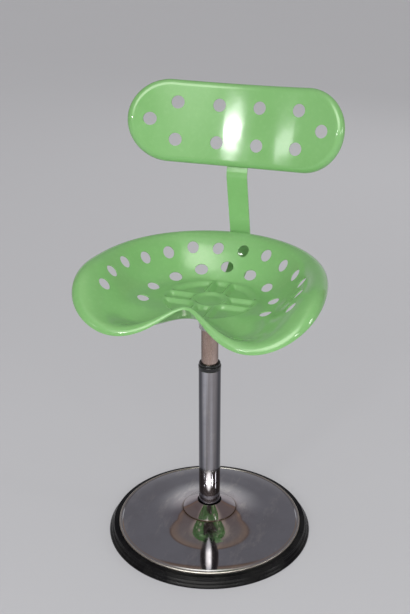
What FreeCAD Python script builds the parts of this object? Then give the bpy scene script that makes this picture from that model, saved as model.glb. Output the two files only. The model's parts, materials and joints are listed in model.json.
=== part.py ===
"""Swivel stool with a pressed, perforated tractor seat, a backrest and a round weighted base.

Millimetres, +Z up, origin on the floor under the column, sitter faces -Y.
"""
import FreeCAD
import Part
import Sketcher
import math
import os

from types import SimpleNamespace

from FreeCAD import Placement, Rotation, Vector

# Driving dimensions: alias, value, what it is
SIZES = [
    # Floor ring
    ("ring_foot_reach", 19.6, "how far the rubber ring's foot stands out past the cover"),
    ("ring_tread", 12.4, "how far the ring reaches in under the cover"),
    ("ring_toe", 2.0, "bevel where the ring meets the floor"),
    ("ring_shoulder_reach", 10.1, "how far the ring's shoulder stands out past the cover"),
    ("ring_shoulder_drop", 4.5, "how far the shoulder lies below the ring's top"),
    ("ring_brow", 3.0, "width of the ring's flat top beside the cover"),
    ("ring_ledge_height", 13.7, "height of the ledge that carries the weight and the cover"),
    ("ring_gap", 0.3, "clearance of the ring round the cover and the weight"),
    # Chrome cover of the base
    ("cover_radius", 180.4, "outer radius of the cover"),
    ("cover_rim_depth", 8.9, "depth of the cover's turned-down rim"),
    ("cover_proud", 0.6, "how far the cover stands above the ring"),
    ("cover_rise", 23.0, "rise of the cover from its edge to the foot cone"),
    ("cover_slope", 3.0, "slope of the cover's outer part, degrees"),
    ("cover_shoulder_radius", 125.0, "radius where the cover starts to sweep up to the foot cone"),
    ("cover_bore_radius", 48.0, "hole in the cover under the foot cone"),
    ("cover_sheet", 1.5, "thickness of the cover's sheet"),
    # Cast weight
    ("weight_clearance", 3.0, "height of the weight above the floor"),
    ("weight_flange", 4.3, "thickness of the weight's flange on the ledge"),
    ("weight_hub_radius", 30.0, "radius of the weight's boss"),
    ("weight_hub_height", 38.0, "height of the boss round the tube"),
    ("nut_recess_radius", 18.0, "recess for the foot nut"),
    ("nut_recess_height", 15.0, "height of the recess roof"),
    ("foot_stud_radius", 8.0, "radius of the plug's threaded end"),
    ("foot_stud_start", 4.0, "height where the threaded end starts"),
    ("foot_nut_corner_radius", 13.8, "corner radius of the foot nut"),
    ("foot_nut_height", 9.0, "height of the foot nut"),
    ("foot_washer_radius", 17.0, "outer radius of the foot washer"),
    ("foot_washer_thickness", 2.0, "thickness of the foot washer"),
    ("stud_gap", 0.4, "clearance of a stud in its plain hole"),
    # Foot cone and its seal
    ("cone_radius", 52.0, "lower radius of the foot cone"),
    ("cone_top_radius", 23.6, "upper radius of the foot cone"),
    ("cone_height", 15.8, "rise of the foot cone"),
    ("cone_sheet", 1.2, "thickness of the cone's sheet"),
    ("seal_height", 5.5, "height of the seal ring at the tube's foot"),
    # Column
    ("tube_radius", 21.0, "outer radius of the fixed tube"),
    ("tube_wall", 2.0, "wall of both tubes"),
    ("tube_foot_height", 22.0, "height of the fixed tube's lower end"),
    ("tube_top_height", 355.0, "height of the fixed tube's upper end"),
    ("socket_gap", 0.1, "clearance of the fixed tube in the weight's socket"),
    ("plug_length", 30.0, "length of the plug in the fixed tube"),
    ("plug_floor", 8.0, "metal left under the spindle's seat"),
    ("spindle_radius", 10.0, "radius of the threaded spindle"),
    ("spindle_top_height", 264.0, "height of the spindle's upper end"),
    ("stop_washer_radius", 13.0, "radius of the stop washer on the spindle"),
    ("stop_washer_thickness", 3.0, "thickness of the stop washer"),
    ("stop_screw_radius", 3.0, "radius of the stop screw's shank"),
    ("stop_screw_head_radius", 6.5, "radius of the stop screw's head"),
    ("stop_screw_head_height", 6.0, "height of the stop screw's head"),
    ("stop_screw_length", 22.0, "length of the stop screw's shank"),
    ("thread_gap", 0.15, "radial clearance left between screw and nut"),
    # Guide collar
    ("collar_sleeve_length", 30.0, "length of the collar's sleeve in the tube"),
    ("collar_ridge_radius", 21.6, "radius of the collar's lower ridge"),
    ("collar_ridge_height", 9.0, "height of the lower ridge"),
    ("collar_neck_radius", 19.4, "radius of the neck between the ridges"),
    ("collar_crown_radius", 20.2, "radius of the upper ridge"),
    ("collar_crown_height", 5.0, "height of the upper ridge"),
    ("collar_round", 1.6, "bevel on the ridges"),
    ("slide_gap", 0.1, "running clearance of the sliding fits"),
    # Rising tube
    ("riser_radius", 16.0, "outer radius of the rising tube"),
    ("riser_foot_height", 150.0, "height of the rising tube's lower end"),
    ("seat_fall", 65.0, "how far the seat comes down from the height shown"),
    ("fall_gap", 5.0, "clearance left over the collar when the seat is down"),
    ("travel_nut_length", 40.0, "length of the nut in the rising tube"),
    ("slide_ring_length", 25.0, "length of the lower guide ring"),
    # Swivel head
    ("pin_plug_length", 25.0, "length of the head pin in the rising tube"),
    ("pin_flange", 5.0, "thickness of the head pin's flange"),
    ("pin_radius", 8.0, "radius of the head pin's spigot"),
    ("pin_tip", 2.1, "length of the spigot past the clip"),
    ("race_thickness", 3.0, "thickness of a bearing race"),
    ("race_gap", 0.2, "clearance of the races round the pin"),
    ("ball_radius", 2.45, "radius of a bearing ball"),
    ("ball_gap", 0.05, "clearance of a ball to each race"),
    ("ball_count", 12, "number of bearing balls"),
    ("hub_radius", 20.0, "outer radius of the swivel hub"),
    ("hub_skirt", 3.0, "length of the hub's skirt past the pin's flange"),
    ("hub_skirt_gap", 0.6, "clearance of the skirt round the flange"),
    ("bush_length", 24.5, "length of the hub's bush"),
    ("bush_radius", 10.0, "outer radius of the hub's bush"),
    ("bush_gap", 0.05, "running clearance of the bush on the pin"),
    ("hub_counterbore_depth", 6.0, "depth of the counterbore for washer and clip"),
    ("hub_counterbore_radius", 13.0, "radius of that counterbore"),
    ("pivot_washer_radius", 12.5, "radius of the washer under the clip"),
    ("pivot_washer_thickness", 1.7, "thickness of that washer"),
    ("clip_radius", 11.0, "outer radius of the retaining clip"),
    ("clip_thickness", 1.2, "thickness of the retaining clip"),
    ("clip_groove", 0.8, "depth of the clip's groove in the pin"),
    # Seat plate and fasteners
    ("plate_half_width", 66.0, "half the width of the square seat plate"),
    ("plate_corner", 20.0, "corner radius of the seat plate"),
    ("plate_thickness", 4.0, "thickness of the seat plate"),
    ("bolt_radius", 4.0, "radius of the seat and back bolts"),
    ("bolt_gap", 0.4, "clearance of these bolts in their holes"),
    ("nut_corner_radius", 7.5, "corner radius of their nuts"),
    ("nut_height", 6.5, "height of their nuts"),
    ("washer_radius", 8.0, "radius of their washers"),
    ("washer_thickness", 1.6, "thickness of their washers"),
    ("bolt_tail", 3.0, "thread left past a nut"),
    ("stud_inset", 19.0, "distance of each seat stud from two edges of the plate"),
    # Seat pan
    ("sheet", 2.0, "thickness of the pressed seat and back"),
    ("pan_seat_gap", 0.3, "gap between the seat plate and the pan"),
    ("pan_centre", -30.0, "place along Y that the pan's outline is drawn from"),
    ("pan_reach", 216.8, "reach of the pan's edge at the back"),
    ("pan_corner_bulge", 22.0, "extra reach at the two front corners"),
    ("pan_rim_rise", 70.3, "rise of the rim's crest over the bowl's floor, at sides and back"),
    ("pan_front_drop", 74.0, "fall of the rim's crest towards the front"),
    ("pan_thigh_depth", 14.0, "depth of the two thigh hollows"),
    ("pan_lip_radius", 18.0, "radius of the turned-down lip"),
    ("pressing_depth", 7.2, "depth of the sunk centre"),
    ("pressing_radius", 86.0, "radius where the bowl's wall starts"),
    ("pressing_slope", 11.0, "width of the slope round the sunk centre"),
    ("bead_height", 7.4, "height of the stiffening beads"),
    ("bead_half_width", 10.5, "half the width of a bead"),
    ("bead_spacing", 17.0, "distance of an arm's beads from its middle"),
    ("ring_bead_radius", 31.0, "radius of the ring bead"),
    ("boss_height", 2.6, "height of the disc inside the ring bead"),
    ("outer_hole_up", 12.4, "half the length of the outer row's oval holes, up the wall"),
    ("outer_hole_across", 10.8, "half the width of those holes"),
    ("inner_hole_up", 10.9, "half the length of the inner row's oval holes, up the wall"),
    ("inner_hole_across", 12.5, "half the width of those holes"),
    ("outer_row_shift", -11.0, "place of the outer row's centre ahead of the drawing centre"),
    ("inner_row_shift", 19.0, "place of the inner row's centre behind the drawing centre"),
    # Backrest
    ("back_place", 168.5, "place along Y of the backrest's middle"),
    ("back_rise", 289.5, "height of the backrest's middle over the seat plate"),
    ("back_lean", 15.9, "lean of the backrest, degrees"),
    ("back_bend_radius", 440.0, "radius that the backrest is bent to"),
    ("back_half_length", 206.0, "half the backrest's length"),
    ("back_half_height", 76.5, "half the backrest's height"),
    ("back_depth", 15.0, "depth of the backrest's turned rim"),
    ("back_round", 11.0, "radius of the turned rim"),
    ("back_hole_radius", 12.0, "radius of the holes in the backrest"),
    ("back_row_inset", 42.0, "distance of the hole rows from the long edges"),
    ("back_end_inset", 43.0, "distance of the end holes from the ends"),
    ("back_end_pitch", 47.5, "how far the rows' last holes lie inside the end holes"),
    ("back_bolt_place", 26.0, "distance of the back studs from the middle"),
    ("spacer_radius", 8.0, "outer radius of the spacers behind the backrest"),
    # Back bar
    ("bar_half_width", 20.0, "half the width of the bar"),
    ("bar_thickness", 4.0, "thickness of the bar"),
    ("bar_lap", 12.0, "length of the bar ahead of its front bolt"),
    ("bar_sweep_radius", 50.0, "radius of the bend behind the seat"),
    ("bar_tilt", 13.8, "forward tilt of the bar's upright, degrees"),
    ("bar_kink_drop", 94.5, "how far the bar's upper bend lies below the backrest's middle"),
    ("bar_kink_radius", 25.0, "radius of that bend"),
    ("bar_standoff", 20.0, "distance of the bar behind the backrest's face"),
    ("bar_end", 50.0, "how far the bar runs past the backrest's middle"),
    ("bar_bolt_pitch", 20.0, "distance between the bar's two bolts"),
    ("bar_bolt_inset", 9.0, "distance of the rear bolt from the plate's edge"),
    ("countersink_radius", 8.0, "radius of the bar bolts' heads"),
    # Drawing helper
    ("overrun", 5.0, "how far every cutting tool runs past its work"),
]

# Shares of the outline and of the bowl's walls, chosen by hand
NOTCH_REACH_SHARE = 0.505
FALL_REACH_SHARE = 0.653
OUTLINE_CORNER_ANGLE = 63.0
OUTLINE_CORNER_SPREAD = 22.0
OUTLINE_NOTCH_SPREAD = 33.7
FRONT_DROP_POWER = 2.7
THIGH_ANGLE = 46.0
THIGH_SPREAD = 20.0
WALL_PLACE_SHARES = (0.0, 0.08, 0.17, 0.30, 0.45, 0.60, 0.73, 0.84, 0.93, 1.0)
SIDE_RISE_POWER = 3.9
BACK_RISE_POWER = 1.27
FRONT_RISE_POWER = 2.48
LIP_ANGLES = (30.0, 60.0, 86.0)
NOTCH_LIP_SHARE = 0.75
NOTCH_LIP_SPREAD = 30.0
PRESSING_RING_STEPS = 24
HALF_RING_STEPS = 72
OUTER_ROW_HALF_ANGLES = (8.3, 24.3, 40.2, 57.0, 74.4, 90.6, 104.6)
OUTER_ROW_SHARES = (0.661, 0.691, 0.672, 0.657, 0.664, 0.660, 0.683)
INNER_ROW_HALF_ANGLES = (0.0, 24.0, 49.0, 77.0, 103.9)
INNER_ROW_SHARE = 0.248

os.makedirs("parts", exist_ok=True)
doc = FreeCAD.newDocument("Stool")
sheet = doc.addObject("Spreadsheet::Sheet", "Sizes")
for row, (alias, number, note) in enumerate(SIZES, start=1):
    sheet.set(f"A{row}", note)
    sheet.set(f"B{row}", str(number))
    sheet.setAlias(f"B{row}", alias)
doc.recompute()


class Dim:
    """A size that knows its value and the sheet expression that gives it."""

    def __init__(self, value, text):
        self.value = value
        self.text = text

    def join(self, other, mark, result):
        return Dim(result, f"({self.text} {mark} {as_dim(other).text})")

    def __add__(self, other):
        return self.join(other, "+", self.value + as_dim(other).value)

    def __sub__(self, other):
        return self.join(other, "-", self.value - as_dim(other).value)

    def __mul__(self, other):
        return self.join(other, "*", self.value * as_dim(other).value)

    def __truediv__(self, other):
        return self.join(other, "/", self.value / as_dim(other).value)

    def __radd__(self, other):
        return as_dim(other) + self

    def __rsub__(self, other):
        return as_dim(other) - self

    def __rmul__(self, other):
        return as_dim(other) * self

    def __neg__(self):
        return as_dim(0) - self

    def sine(self):
        return Dim(math.sin(math.radians(self.value)), f"sin({self.text} * 1 deg)")

    def cosine(self):
        return Dim(math.cos(math.radians(self.value)), f"cos({self.text} * 1 deg)")


def as_dim(number):
    """A plain number as a size of its own."""
    return number if isinstance(number, Dim) else Dim(float(number), repr(float(number)))


s = SimpleNamespace()
for alias, number, note in SIZES:
    setattr(s, alias, Dim(float(sheet.get(alias)), f"Sizes.{alias}"))
nodes = []

# Heights and places that follow from the driving dimensions
cover_edge_height = s.ring_ledge_height + s.cover_rim_depth
ring_height = cover_edge_height - s.cover_proud
weight_height = s.ring_ledge_height + s.weight_flange
cone_foot_height = cover_edge_height + s.cover_rise
collar_neck_height = s.tube_top_height + s.collar_ridge_height
collar_top_height = collar_neck_height + s.collar_crown_height
plug_floor_height = s.tube_foot_height + s.plug_floor
tube_bore = s.tube_radius - s.tube_wall
riser_bore = s.riser_radius - s.tube_wall
pin_shoulder_height = collar_top_height + s.seat_fall + s.fall_gap + s.hub_skirt
riser_top_height = pin_shoulder_height - s.pin_flange
upper_race_height = pin_shoulder_height + s.race_thickness + 2 * (s.ball_radius + s.ball_gap)
race_top_height = upper_race_height + s.race_thickness
counterbore_height = race_top_height + s.bush_length
clip_height = counterbore_height + s.pivot_washer_thickness
clip_top_height = clip_height + s.clip_thickness
hub_bore = s.riser_radius + s.hub_skirt_gap
plate_bottom_height = counterbore_height + s.hub_counterbore_depth
plate_top_height = plate_bottom_height + s.plate_thickness
stud_place = s.plate_half_width - s.stud_inset
seat_nut_height = plate_bottom_height - s.washer_thickness - s.nut_height
pan_underside = plate_top_height + s.pan_seat_gap
pan_floor_height = pan_underside + s.sheet + s.pressing_depth
pressing_floor_radius = s.pressing_radius - s.pressing_slope
bar_bolt_far = s.plate_half_width - s.bar_bolt_inset
bar_bolt_near = bar_bolt_far - s.bar_bolt_pitch
bar_start = bar_bolt_near - s.bar_lap
bar_bottom_height = plate_bottom_height - s.bar_thickness
bar_nut_height = bar_bottom_height - s.washer_thickness - s.nut_height
back_height = plate_top_height + s.back_rise
back_turn = 90 - s.back_lean
back_clamp = s.bar_standoff + s.bar_thickness
back_row = s.back_half_height - s.back_row_inset
back_end_hole = s.back_half_length - s.back_end_inset
back_pitch = (back_end_hole - s.back_end_pitch) * 2 / 3


def bind(target, path, dim):
    """Tie one property of an object to the sheet."""
    target.setExpression(path, as_dim(dim).text)


def keep(label, obj):
    """Name a finished sub-part."""
    obj.Label = label
    nodes.append((label, obj))
    return obj


def put(obj, place, turn=None):
    """Place an object, turned about X where a turn is given."""
    if turn is not None:
        obj.Placement = Placement(Vector(), Rotation(Vector(1, 0, 0), turn.value))
        bind(obj, "Placement.Rotation.Angle", turn)
    for axis, dim in zip("xyz", place):
        bind(obj, f"Placement.Base.{axis}", dim)
    return obj


def on_plane(body, role, name):
    """A sketch on one of the body's own origin planes."""
    sketch = body.newObject("Sketcher::SketchObject", name)
    plane = next(p for p in body.Origin.OriginFeatures if p.Role == role)
    sketch.AttachmentSupport = [(plane, "")]
    sketch.MapMode = "FlatFace"
    return sketch


def constrain(sketch, dim, kind, *where):
    """A dimension in a sketch, tied to the sheet."""
    index = sketch.addConstraint(Sketcher.Constraint(kind, *where, dim.value))
    bind(sketch, f"Constraints[{index}]", dim)


def polygon(sketch, points):
    """A closed outline of straight lines through points given as sizes."""
    ends = [Vector(as_dim(x).value, as_dim(y).value) for x, y in points]
    count = len(points)
    for i in range(count):
        sketch.addGeometry(Part.LineSegment(ends[i], ends[(i + 1) % count]), False)
    for i in range(count):
        sketch.addConstraint(Sketcher.Constraint("Coincident", i, 2, (i + 1) % count, 1))
    for i, (x, y) in enumerate(points):
        for kind, axis, dim in (("DistanceX", -2, as_dim(x)), ("DistanceY", -1, as_dim(y))):
            if dim.value == 0:
                sketch.addConstraint(Sketcher.Constraint("PointOnObject", i, 1, axis))
            else:
                constrain(sketch, dim, kind, -1, 1, i, 1)


def revolve(body, sketch):
    """Turn a sketch round the body's Z axis."""
    turned_form = body.newObject("PartDesign::Revolution", body.Name + "_turned")
    turned_form.Profile = sketch
    turned_form.ReferenceAxis = (sketch, ["V_Axis"])
    turned_form.Angle = 360
    return turned_form


def turned(name, points, place=None):
    """A turned piece from its half section, as radius and height."""
    body = doc.addObject("PartDesign::Body", name + "_body")
    sketch = on_plane(body, "XZ_Plane", name + "_section")
    polygon(sketch, points)
    revolve(body, sketch)
    if place is not None:
        put(body, place)
    return body


def ring(name, bore, radius, bottom, height, place=None):
    """A plain ring or sleeve."""
    top = bottom + height
    return turned(name, [(bore, bottom), (radius, bottom), (radius, top), (bore, top)], place)


def rod(name, radius, height, place, turn=None):
    """A cylinder standing on a place."""
    cylinder = doc.addObject("Part::Cylinder", name)
    bind(cylinder, "Radius", radius)
    bind(cylinder, "Height", height)
    return put(cylinder, place, turn)


def group(name, members):
    """Several separate solids as one object."""
    compound = doc.addObject("Part::Compound", name)
    compound.Links = members
    return compound


def cut(name, base, tool):
    """One object less another."""
    result = doc.addObject("Part::Cut", name)
    result.Base = base
    result.Tool = tool
    return result


def hex_nut(name, corner_radius, height, bore, place, turn=None):
    """A hexagon nut with a plain bore."""
    prism = doc.addObject("Part::Prism", name + "_blank")
    prism.Polygon = 6
    bind(prism, "Circumradius", corner_radius)
    bind(prism, "Height", height)
    put(prism, place, turn)
    return cut(name, prism, rod(name + "_bore", bore, height, place, turn))


def pipe(name, radius, bore, height, place, turn=None):
    """A washer, spacer or other short pipe at a place."""
    blank = rod(name + "_blank", radius, height, place, turn)
    return cut(name, blank, rod(name + "_bore", bore, height, place, turn))


def behind_back(across, up, depth):
    """A place given in the leaning backrest's own directions, depth towards the rear."""
    along = s.back_place + up * s.back_lean.sine() + depth * s.back_lean.cosine()
    height = back_height + up * s.back_lean.cosine() - depth * s.back_lean.sine()
    return (as_dim(across), along, height)


# Base
def floor_ring():
    seat = s.cover_radius + s.ring_gap
    points = [
        (s.cover_radius - s.ring_tread, 0),
        (s.cover_radius + s.ring_foot_reach - s.ring_toe, 0),
        (s.cover_radius + s.ring_foot_reach, s.ring_toe),
        (s.cover_radius + s.ring_shoulder_reach, ring_height - s.ring_shoulder_drop),
        (seat + s.ring_brow, ring_height),
        (seat, ring_height),
        (seat, s.ring_ledge_height),
        (s.cover_radius - s.ring_tread, s.ring_ledge_height),
    ]
    keep("floor_ring", turned("floor_ring", points))


def base_weight():
    stud_hole = s.foot_stud_radius + s.stud_gap
    socket = s.tube_radius + s.socket_gap
    foot = s.cover_radius - s.ring_tread - s.ring_gap
    rim = s.cover_radius - s.cover_sheet - s.ring_gap
    points = [
        (stud_hole, s.nut_recess_height),
        (s.nut_recess_radius, s.nut_recess_height),
        (s.nut_recess_radius, s.weight_clearance),
        (foot, s.weight_clearance),
        (foot, s.ring_ledge_height),
        (rim, s.ring_ledge_height),
        (rim, weight_height),
        (s.weight_hub_radius, weight_height),
        (s.weight_hub_radius, s.weight_hub_height),
        (socket, s.weight_hub_height),
        (socket, s.tube_foot_height),
        (stud_hole, s.tube_foot_height),
    ]
    keep("base_weight", turned("base_weight", points))


def base_cover():
    """A sheet: a shallow cone that sweeps up in an arc to the foot cone, with a turned-down rim."""
    sine, cosine = s.cover_slope.sine(), s.cover_slope.cosine()
    shoulder_height = cover_edge_height + (s.cover_radius - s.cover_shoulder_radius) * sine / cosine
    reach = s.cover_shoulder_radius - s.cone_radius
    rise = cone_foot_height - shoulder_height
    sweep = (reach * reach + rise * rise) / ((rise * cosine - reach * sine) * 2)
    middle = s.cover_shoulder_radius + sweep * sine, shoulder_height + sweep * cosine
    inner_edge = s.cover_radius - s.cover_sheet
    slope = math.radians(s.cover_slope.value)

    body = doc.addObject("PartDesign::Body", "base_cover_body")
    sketch = on_plane(body, "XZ_Plane", "base_cover_section")
    for radius in (sweep, sweep + s.cover_sheet):
        bore_angle = math.asin((middle[0] - s.cover_bore_radius).value / radius.value)
        circle = Part.Circle(Vector(*(dim.value for dim in middle)), Vector(0, 0, 1), radius.value)
        arc = Part.ArcOfCircle(circle, -math.pi / 2 - bore_angle, -math.pi / 2 - slope)
        sketch.addGeometry(arc, False)
    top_bore, top_shoulder = (sketch.getPoint(0, end) for end in (1, 2))
    low_bore, low_shoulder = (sketch.getPoint(1, end) for end in (1, 2))
    top_edge = Vector(s.cover_radius.value, cover_edge_height.value)
    low_edge = Vector(inner_edge.value, (cover_edge_height - s.cover_sheet).value)
    rim_foot = Vector(s.cover_radius.value, s.ring_ledge_height.value)
    rim_foot_inside = Vector(inner_edge.value, s.ring_ledge_height.value)
    corners = top_shoulder, top_edge, rim_foot, rim_foot_inside, low_edge, low_shoulder
    for start, end in (*zip(corners, corners[1:]), (low_bore, top_bore)):
        sketch.addGeometry(Part.LineSegment(start, end), False)
    rim_joints = (0, 2, 2, 1), (2, 2, 3, 1), (3, 2, 4, 1), (4, 2, 5, 1), (5, 2, 6, 1)
    bore_joints = (1, 1, 7, 1), (7, 2, 0, 1), (0, 3, 1, 3)
    for joint in (*rim_joints, *bore_joints):
        sketch.addConstraint(Sketcher.Constraint("Coincident", *joint))
    for upright in (3, 5, 7):
        sketch.addConstraint(Sketcher.Constraint("Vertical", upright))
    sketch.addConstraint(Sketcher.Constraint("Horizontal", 4))
    sketch.addConstraint(Sketcher.Constraint("Parallel", 2, 6))
    sketch.addConstraint(Sketcher.Constraint("Tangent", 6, 2, 1, 2))
    constrain(sketch, middle[0], "DistanceX", -1, 1, 0, 3)
    constrain(sketch, middle[1], "DistanceY", -1, 1, 0, 3)
    constrain(sketch, s.cover_shoulder_radius, "DistanceX", -1, 1, 0, 2)
    constrain(sketch, sweep, "Radius", 0)
    constrain(sketch, sweep + s.cover_sheet, "Radius", 1)
    constrain(sketch, s.cover_radius, "DistanceX", -1, 1, 2, 2)
    constrain(sketch, cover_edge_height, "DistanceY", -1, 1, 2, 2)
    constrain(sketch, s.cover_bore_radius, "DistanceX", -1, 1, 7, 1)
    constrain(sketch, s.ring_ledge_height, "DistanceY", -1, 1, 4, 1)
    constrain(sketch, inner_edge, "DistanceX", -1, 1, 5, 1)
    revolve(body, sketch)
    keep("base_cover", body)


def foot_cone():
    top = cone_foot_height + s.cone_height
    points = [
        (s.cone_radius, cone_foot_height),
        (s.cone_radius, cone_foot_height + s.cone_sheet),
        (s.cone_top_radius, top + s.cone_sheet),
        (s.cone_top_radius, top),
    ]
    keep("foot_cone", turned("foot_cone", points))
    seal_bottom = top + s.cone_sheet - s.seal_height
    keep("foot_seal", ring("foot_seal", s.tube_radius, s.cone_top_radius, seal_bottom, s.seal_height))


# Fixed column
def fixed_column():
    length = s.tube_top_height - s.tube_foot_height
    keep("outer_tube", ring("outer_tube", tube_bore, s.tube_radius, s.tube_foot_height, length))
    plug_top = s.tube_foot_height + s.plug_length
    plug = [
        (0, s.foot_stud_start),
        (s.foot_stud_radius, s.foot_stud_start),
        (s.foot_stud_radius, s.tube_foot_height),
        (tube_bore, s.tube_foot_height),
        (tube_bore, plug_top),
        (s.spindle_radius, plug_top),
        (s.spindle_radius, plug_floor_height),
        (0, plug_floor_height),
    ]
    keep("tube_plug", turned("tube_plug", plug))
    washer_height = s.nut_recess_height - s.foot_washer_thickness
    washer_bore = s.foot_stud_radius + s.stud_gap
    washer = ring("foot_washer", washer_bore, s.foot_washer_radius, washer_height, s.foot_washer_thickness)
    keep("foot_washer", washer)
    nut_place = (0, 0, washer_height - s.foot_nut_height)
    nut = hex_nut("foot_nut", s.foot_nut_corner_radius, s.foot_nut_height, s.foot_stud_radius, nut_place)
    keep("foot_nut", nut)


def screw_and_stop():
    top = s.spindle_top_height
    screw_foot = top - s.stop_screw_length
    washer_top = top + s.stop_washer_thickness
    spindle = [
        (0, plug_floor_height),
        (s.spindle_radius, plug_floor_height),
        (s.spindle_radius, top),
        (s.stop_screw_radius, top),
        (s.stop_screw_radius, screw_foot),
        (0, screw_foot),
    ]
    keep("spindle", turned("spindle", spindle))
    washer_bore = s.stop_screw_radius + s.stud_gap
    washer = ring("stop_washer", washer_bore, s.stop_washer_radius, top, s.stop_washer_thickness)
    keep("stop_washer", washer)
    screw = [
        (0, screw_foot),
        (s.stop_screw_radius, screw_foot),
        (s.stop_screw_radius, washer_top),
        (s.stop_screw_head_radius, washer_top),
        (s.stop_screw_head_radius, washer_top + s.stop_screw_head_height),
        (0, washer_top + s.stop_screw_head_height),
    ]
    keep("stop_screw", turned("stop_screw", screw))


def guide_collar():
    bore = s.riser_radius + s.slide_gap
    foot = s.tube_top_height - s.collar_sleeve_length
    points = [
        (bore, foot),
        (tube_bore, foot),
        (tube_bore, s.tube_top_height),
        (s.collar_ridge_radius - s.collar_round, s.tube_top_height),
        (s.collar_ridge_radius, s.tube_top_height + s.collar_round),
        (s.collar_ridge_radius, collar_neck_height - s.collar_round),
        (s.collar_neck_radius, collar_neck_height),
        (s.collar_crown_radius, collar_neck_height + s.collar_round),
        (s.collar_crown_radius, collar_top_height - s.collar_round),
        (s.collar_crown_radius - s.collar_round, collar_top_height),
        (bore, collar_top_height),
    ]
    keep("guide_collar", turned("guide_collar", points))


# Rising column
def rising_column():
    foot = s.riser_foot_height
    length = riser_top_height - foot
    keep("rising_tube", ring("rising_tube", riser_bore, s.riser_radius, foot, length))
    nut_bore = s.spindle_radius + s.thread_gap
    keep("travel_nut", ring("travel_nut", nut_bore, riser_bore, foot, s.travel_nut_length))
    ring_radius = tube_bore - s.slide_gap
    keep("slide_ring", ring("slide_ring", s.riser_radius, ring_radius, foot, s.slide_ring_length))


def head_pin():
    groove = s.pin_radius - s.clip_groove
    plug_foot = riser_top_height - s.pin_plug_length
    points = [
        (0, plug_foot),
        (riser_bore, plug_foot),
        (riser_bore, riser_top_height),
        (s.riser_radius, riser_top_height),
        (s.riser_radius, pin_shoulder_height),
        (s.pin_radius, pin_shoulder_height),
        (s.pin_radius, clip_height),
        (groove, clip_height),
        (groove, clip_top_height),
        (s.pin_radius, clip_top_height),
        (s.pin_radius, clip_top_height + s.pin_tip),
        (0, clip_top_height + s.pin_tip),
    ]
    keep("head_pin", turned("head_pin", points))
    race_bore = s.pin_radius + s.race_gap
    keep("lower_race", ring("lower_race", race_bore, s.riser_radius, pin_shoulder_height, s.race_thickness))
    washer = ring(
        "pivot_washer", race_bore, s.pivot_washer_radius, counterbore_height, s.pivot_washer_thickness
    )
    keep("pivot_washer", washer)
    keep("pivot_clip", ring("pivot_clip", groove, s.clip_radius, clip_height, s.clip_thickness))


def bearing_balls():
    track = (s.pin_radius + s.riser_radius) / 2
    middle = pin_shoulder_height + s.race_thickness + s.ball_gap + s.ball_radius
    count = int(s.ball_count.value)
    balls = []
    for i in range(count):
        turn = 2 * math.pi * i / count
        ball = doc.addObject("Part::Sphere", f"ball_{i + 1}")
        bind(ball, "Radius", s.ball_radius)
        balls.append(put(ball, (track * math.cos(turn), track * math.sin(turn), middle)))
    keep("bearing_balls", group("bearing_balls_set", balls))


# Swivel hub and seat plate
def swivel_hub():
    points = [
        (hub_bore, pin_shoulder_height - s.hub_skirt),
        (s.hub_radius, pin_shoulder_height - s.hub_skirt),
        (s.hub_radius, plate_bottom_height),
        (s.hub_counterbore_radius, plate_bottom_height),
        (s.hub_counterbore_radius, counterbore_height),
        (s.bush_radius, counterbore_height),
        (s.bush_radius, race_top_height),
        (hub_bore, race_top_height),
    ]
    keep("swivel_hub", turned("swivel_hub", points))
    race_bore = s.pin_radius + s.race_gap
    keep("upper_race", ring("upper_race", race_bore, s.riser_radius, upper_race_height, s.race_thickness))
    bush_bore = s.pin_radius + s.bush_gap
    keep("hub_bush", ring("hub_bush", bush_bore, s.bush_radius, race_top_height, s.bush_length))


def stud_places():
    """The four seat studs, on the diagonals of the plate."""
    return [(stud_place * x, stud_place * y) for x in (-1, 1) for y in (-1, 1)]


def seat_plate():
    half = s.plate_half_width
    body = doc.addObject("PartDesign::Body", "seat_plate_body")
    sketch = on_plane(body, "XY_Plane", "seat_plate_outline")
    bind(sketch, "AttachmentOffset.Base.z", plate_bottom_height)
    polygon(sketch, [(-half, -half), (half, -half), (half, half), (-half, half)])
    pad = body.newObject("PartDesign::Pad", "seat_plate_pad")
    pad.Profile = sketch
    bind(pad, "Length", s.plate_thickness)
    doc.recompute()
    uprights = [f"Edge{i}" for i, edge in enumerate(pad.Shape.Edges, 1) if is_upright(edge)]
    corners = body.newObject("PartDesign::Fillet", "seat_plate_corners")
    corners.Base = (pad, uprights)
    bind(corners, "Radius", s.plate_corner)
    hole = s.bolt_radius + s.bolt_gap
    below = plate_bottom_height - s.overrun
    through = s.plate_thickness + 2 * s.overrun
    tools = [rod("plate_middle_hole", s.hub_counterbore_radius, through, (0, 0, below))]
    for i, (x, y) in enumerate(stud_places(), 1):
        tools.append(rod(f"plate_stud_hole_{i}", hole, through, (x, y, below)))
    head = s.countersink_radius + s.bolt_gap
    sink_foot = plate_top_height - (head - hole)
    section = [
        (0, below),
        (hole, below),
        (hole, sink_foot),
        (head, plate_top_height),
        (head, plate_top_height + s.overrun),
        (0, plate_top_height + s.overrun),
    ]
    for i, y in enumerate((bar_bolt_near, bar_bolt_far), 1):
        tools.append(turned(f"plate_bolt_hole_{i}", section, (0, y, 0)))
    keep("seat_plate", cut("seat_plate_cut", body, group("seat_plate_holes", tools)))


def is_upright(edge):
    """Whether an edge runs straight along Z."""
    way = edge.Vertexes[-1].Point - edge.Vertexes[0].Point
    return way.Length > 0 and abs(way.z) > 0.999 * way.Length


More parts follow.
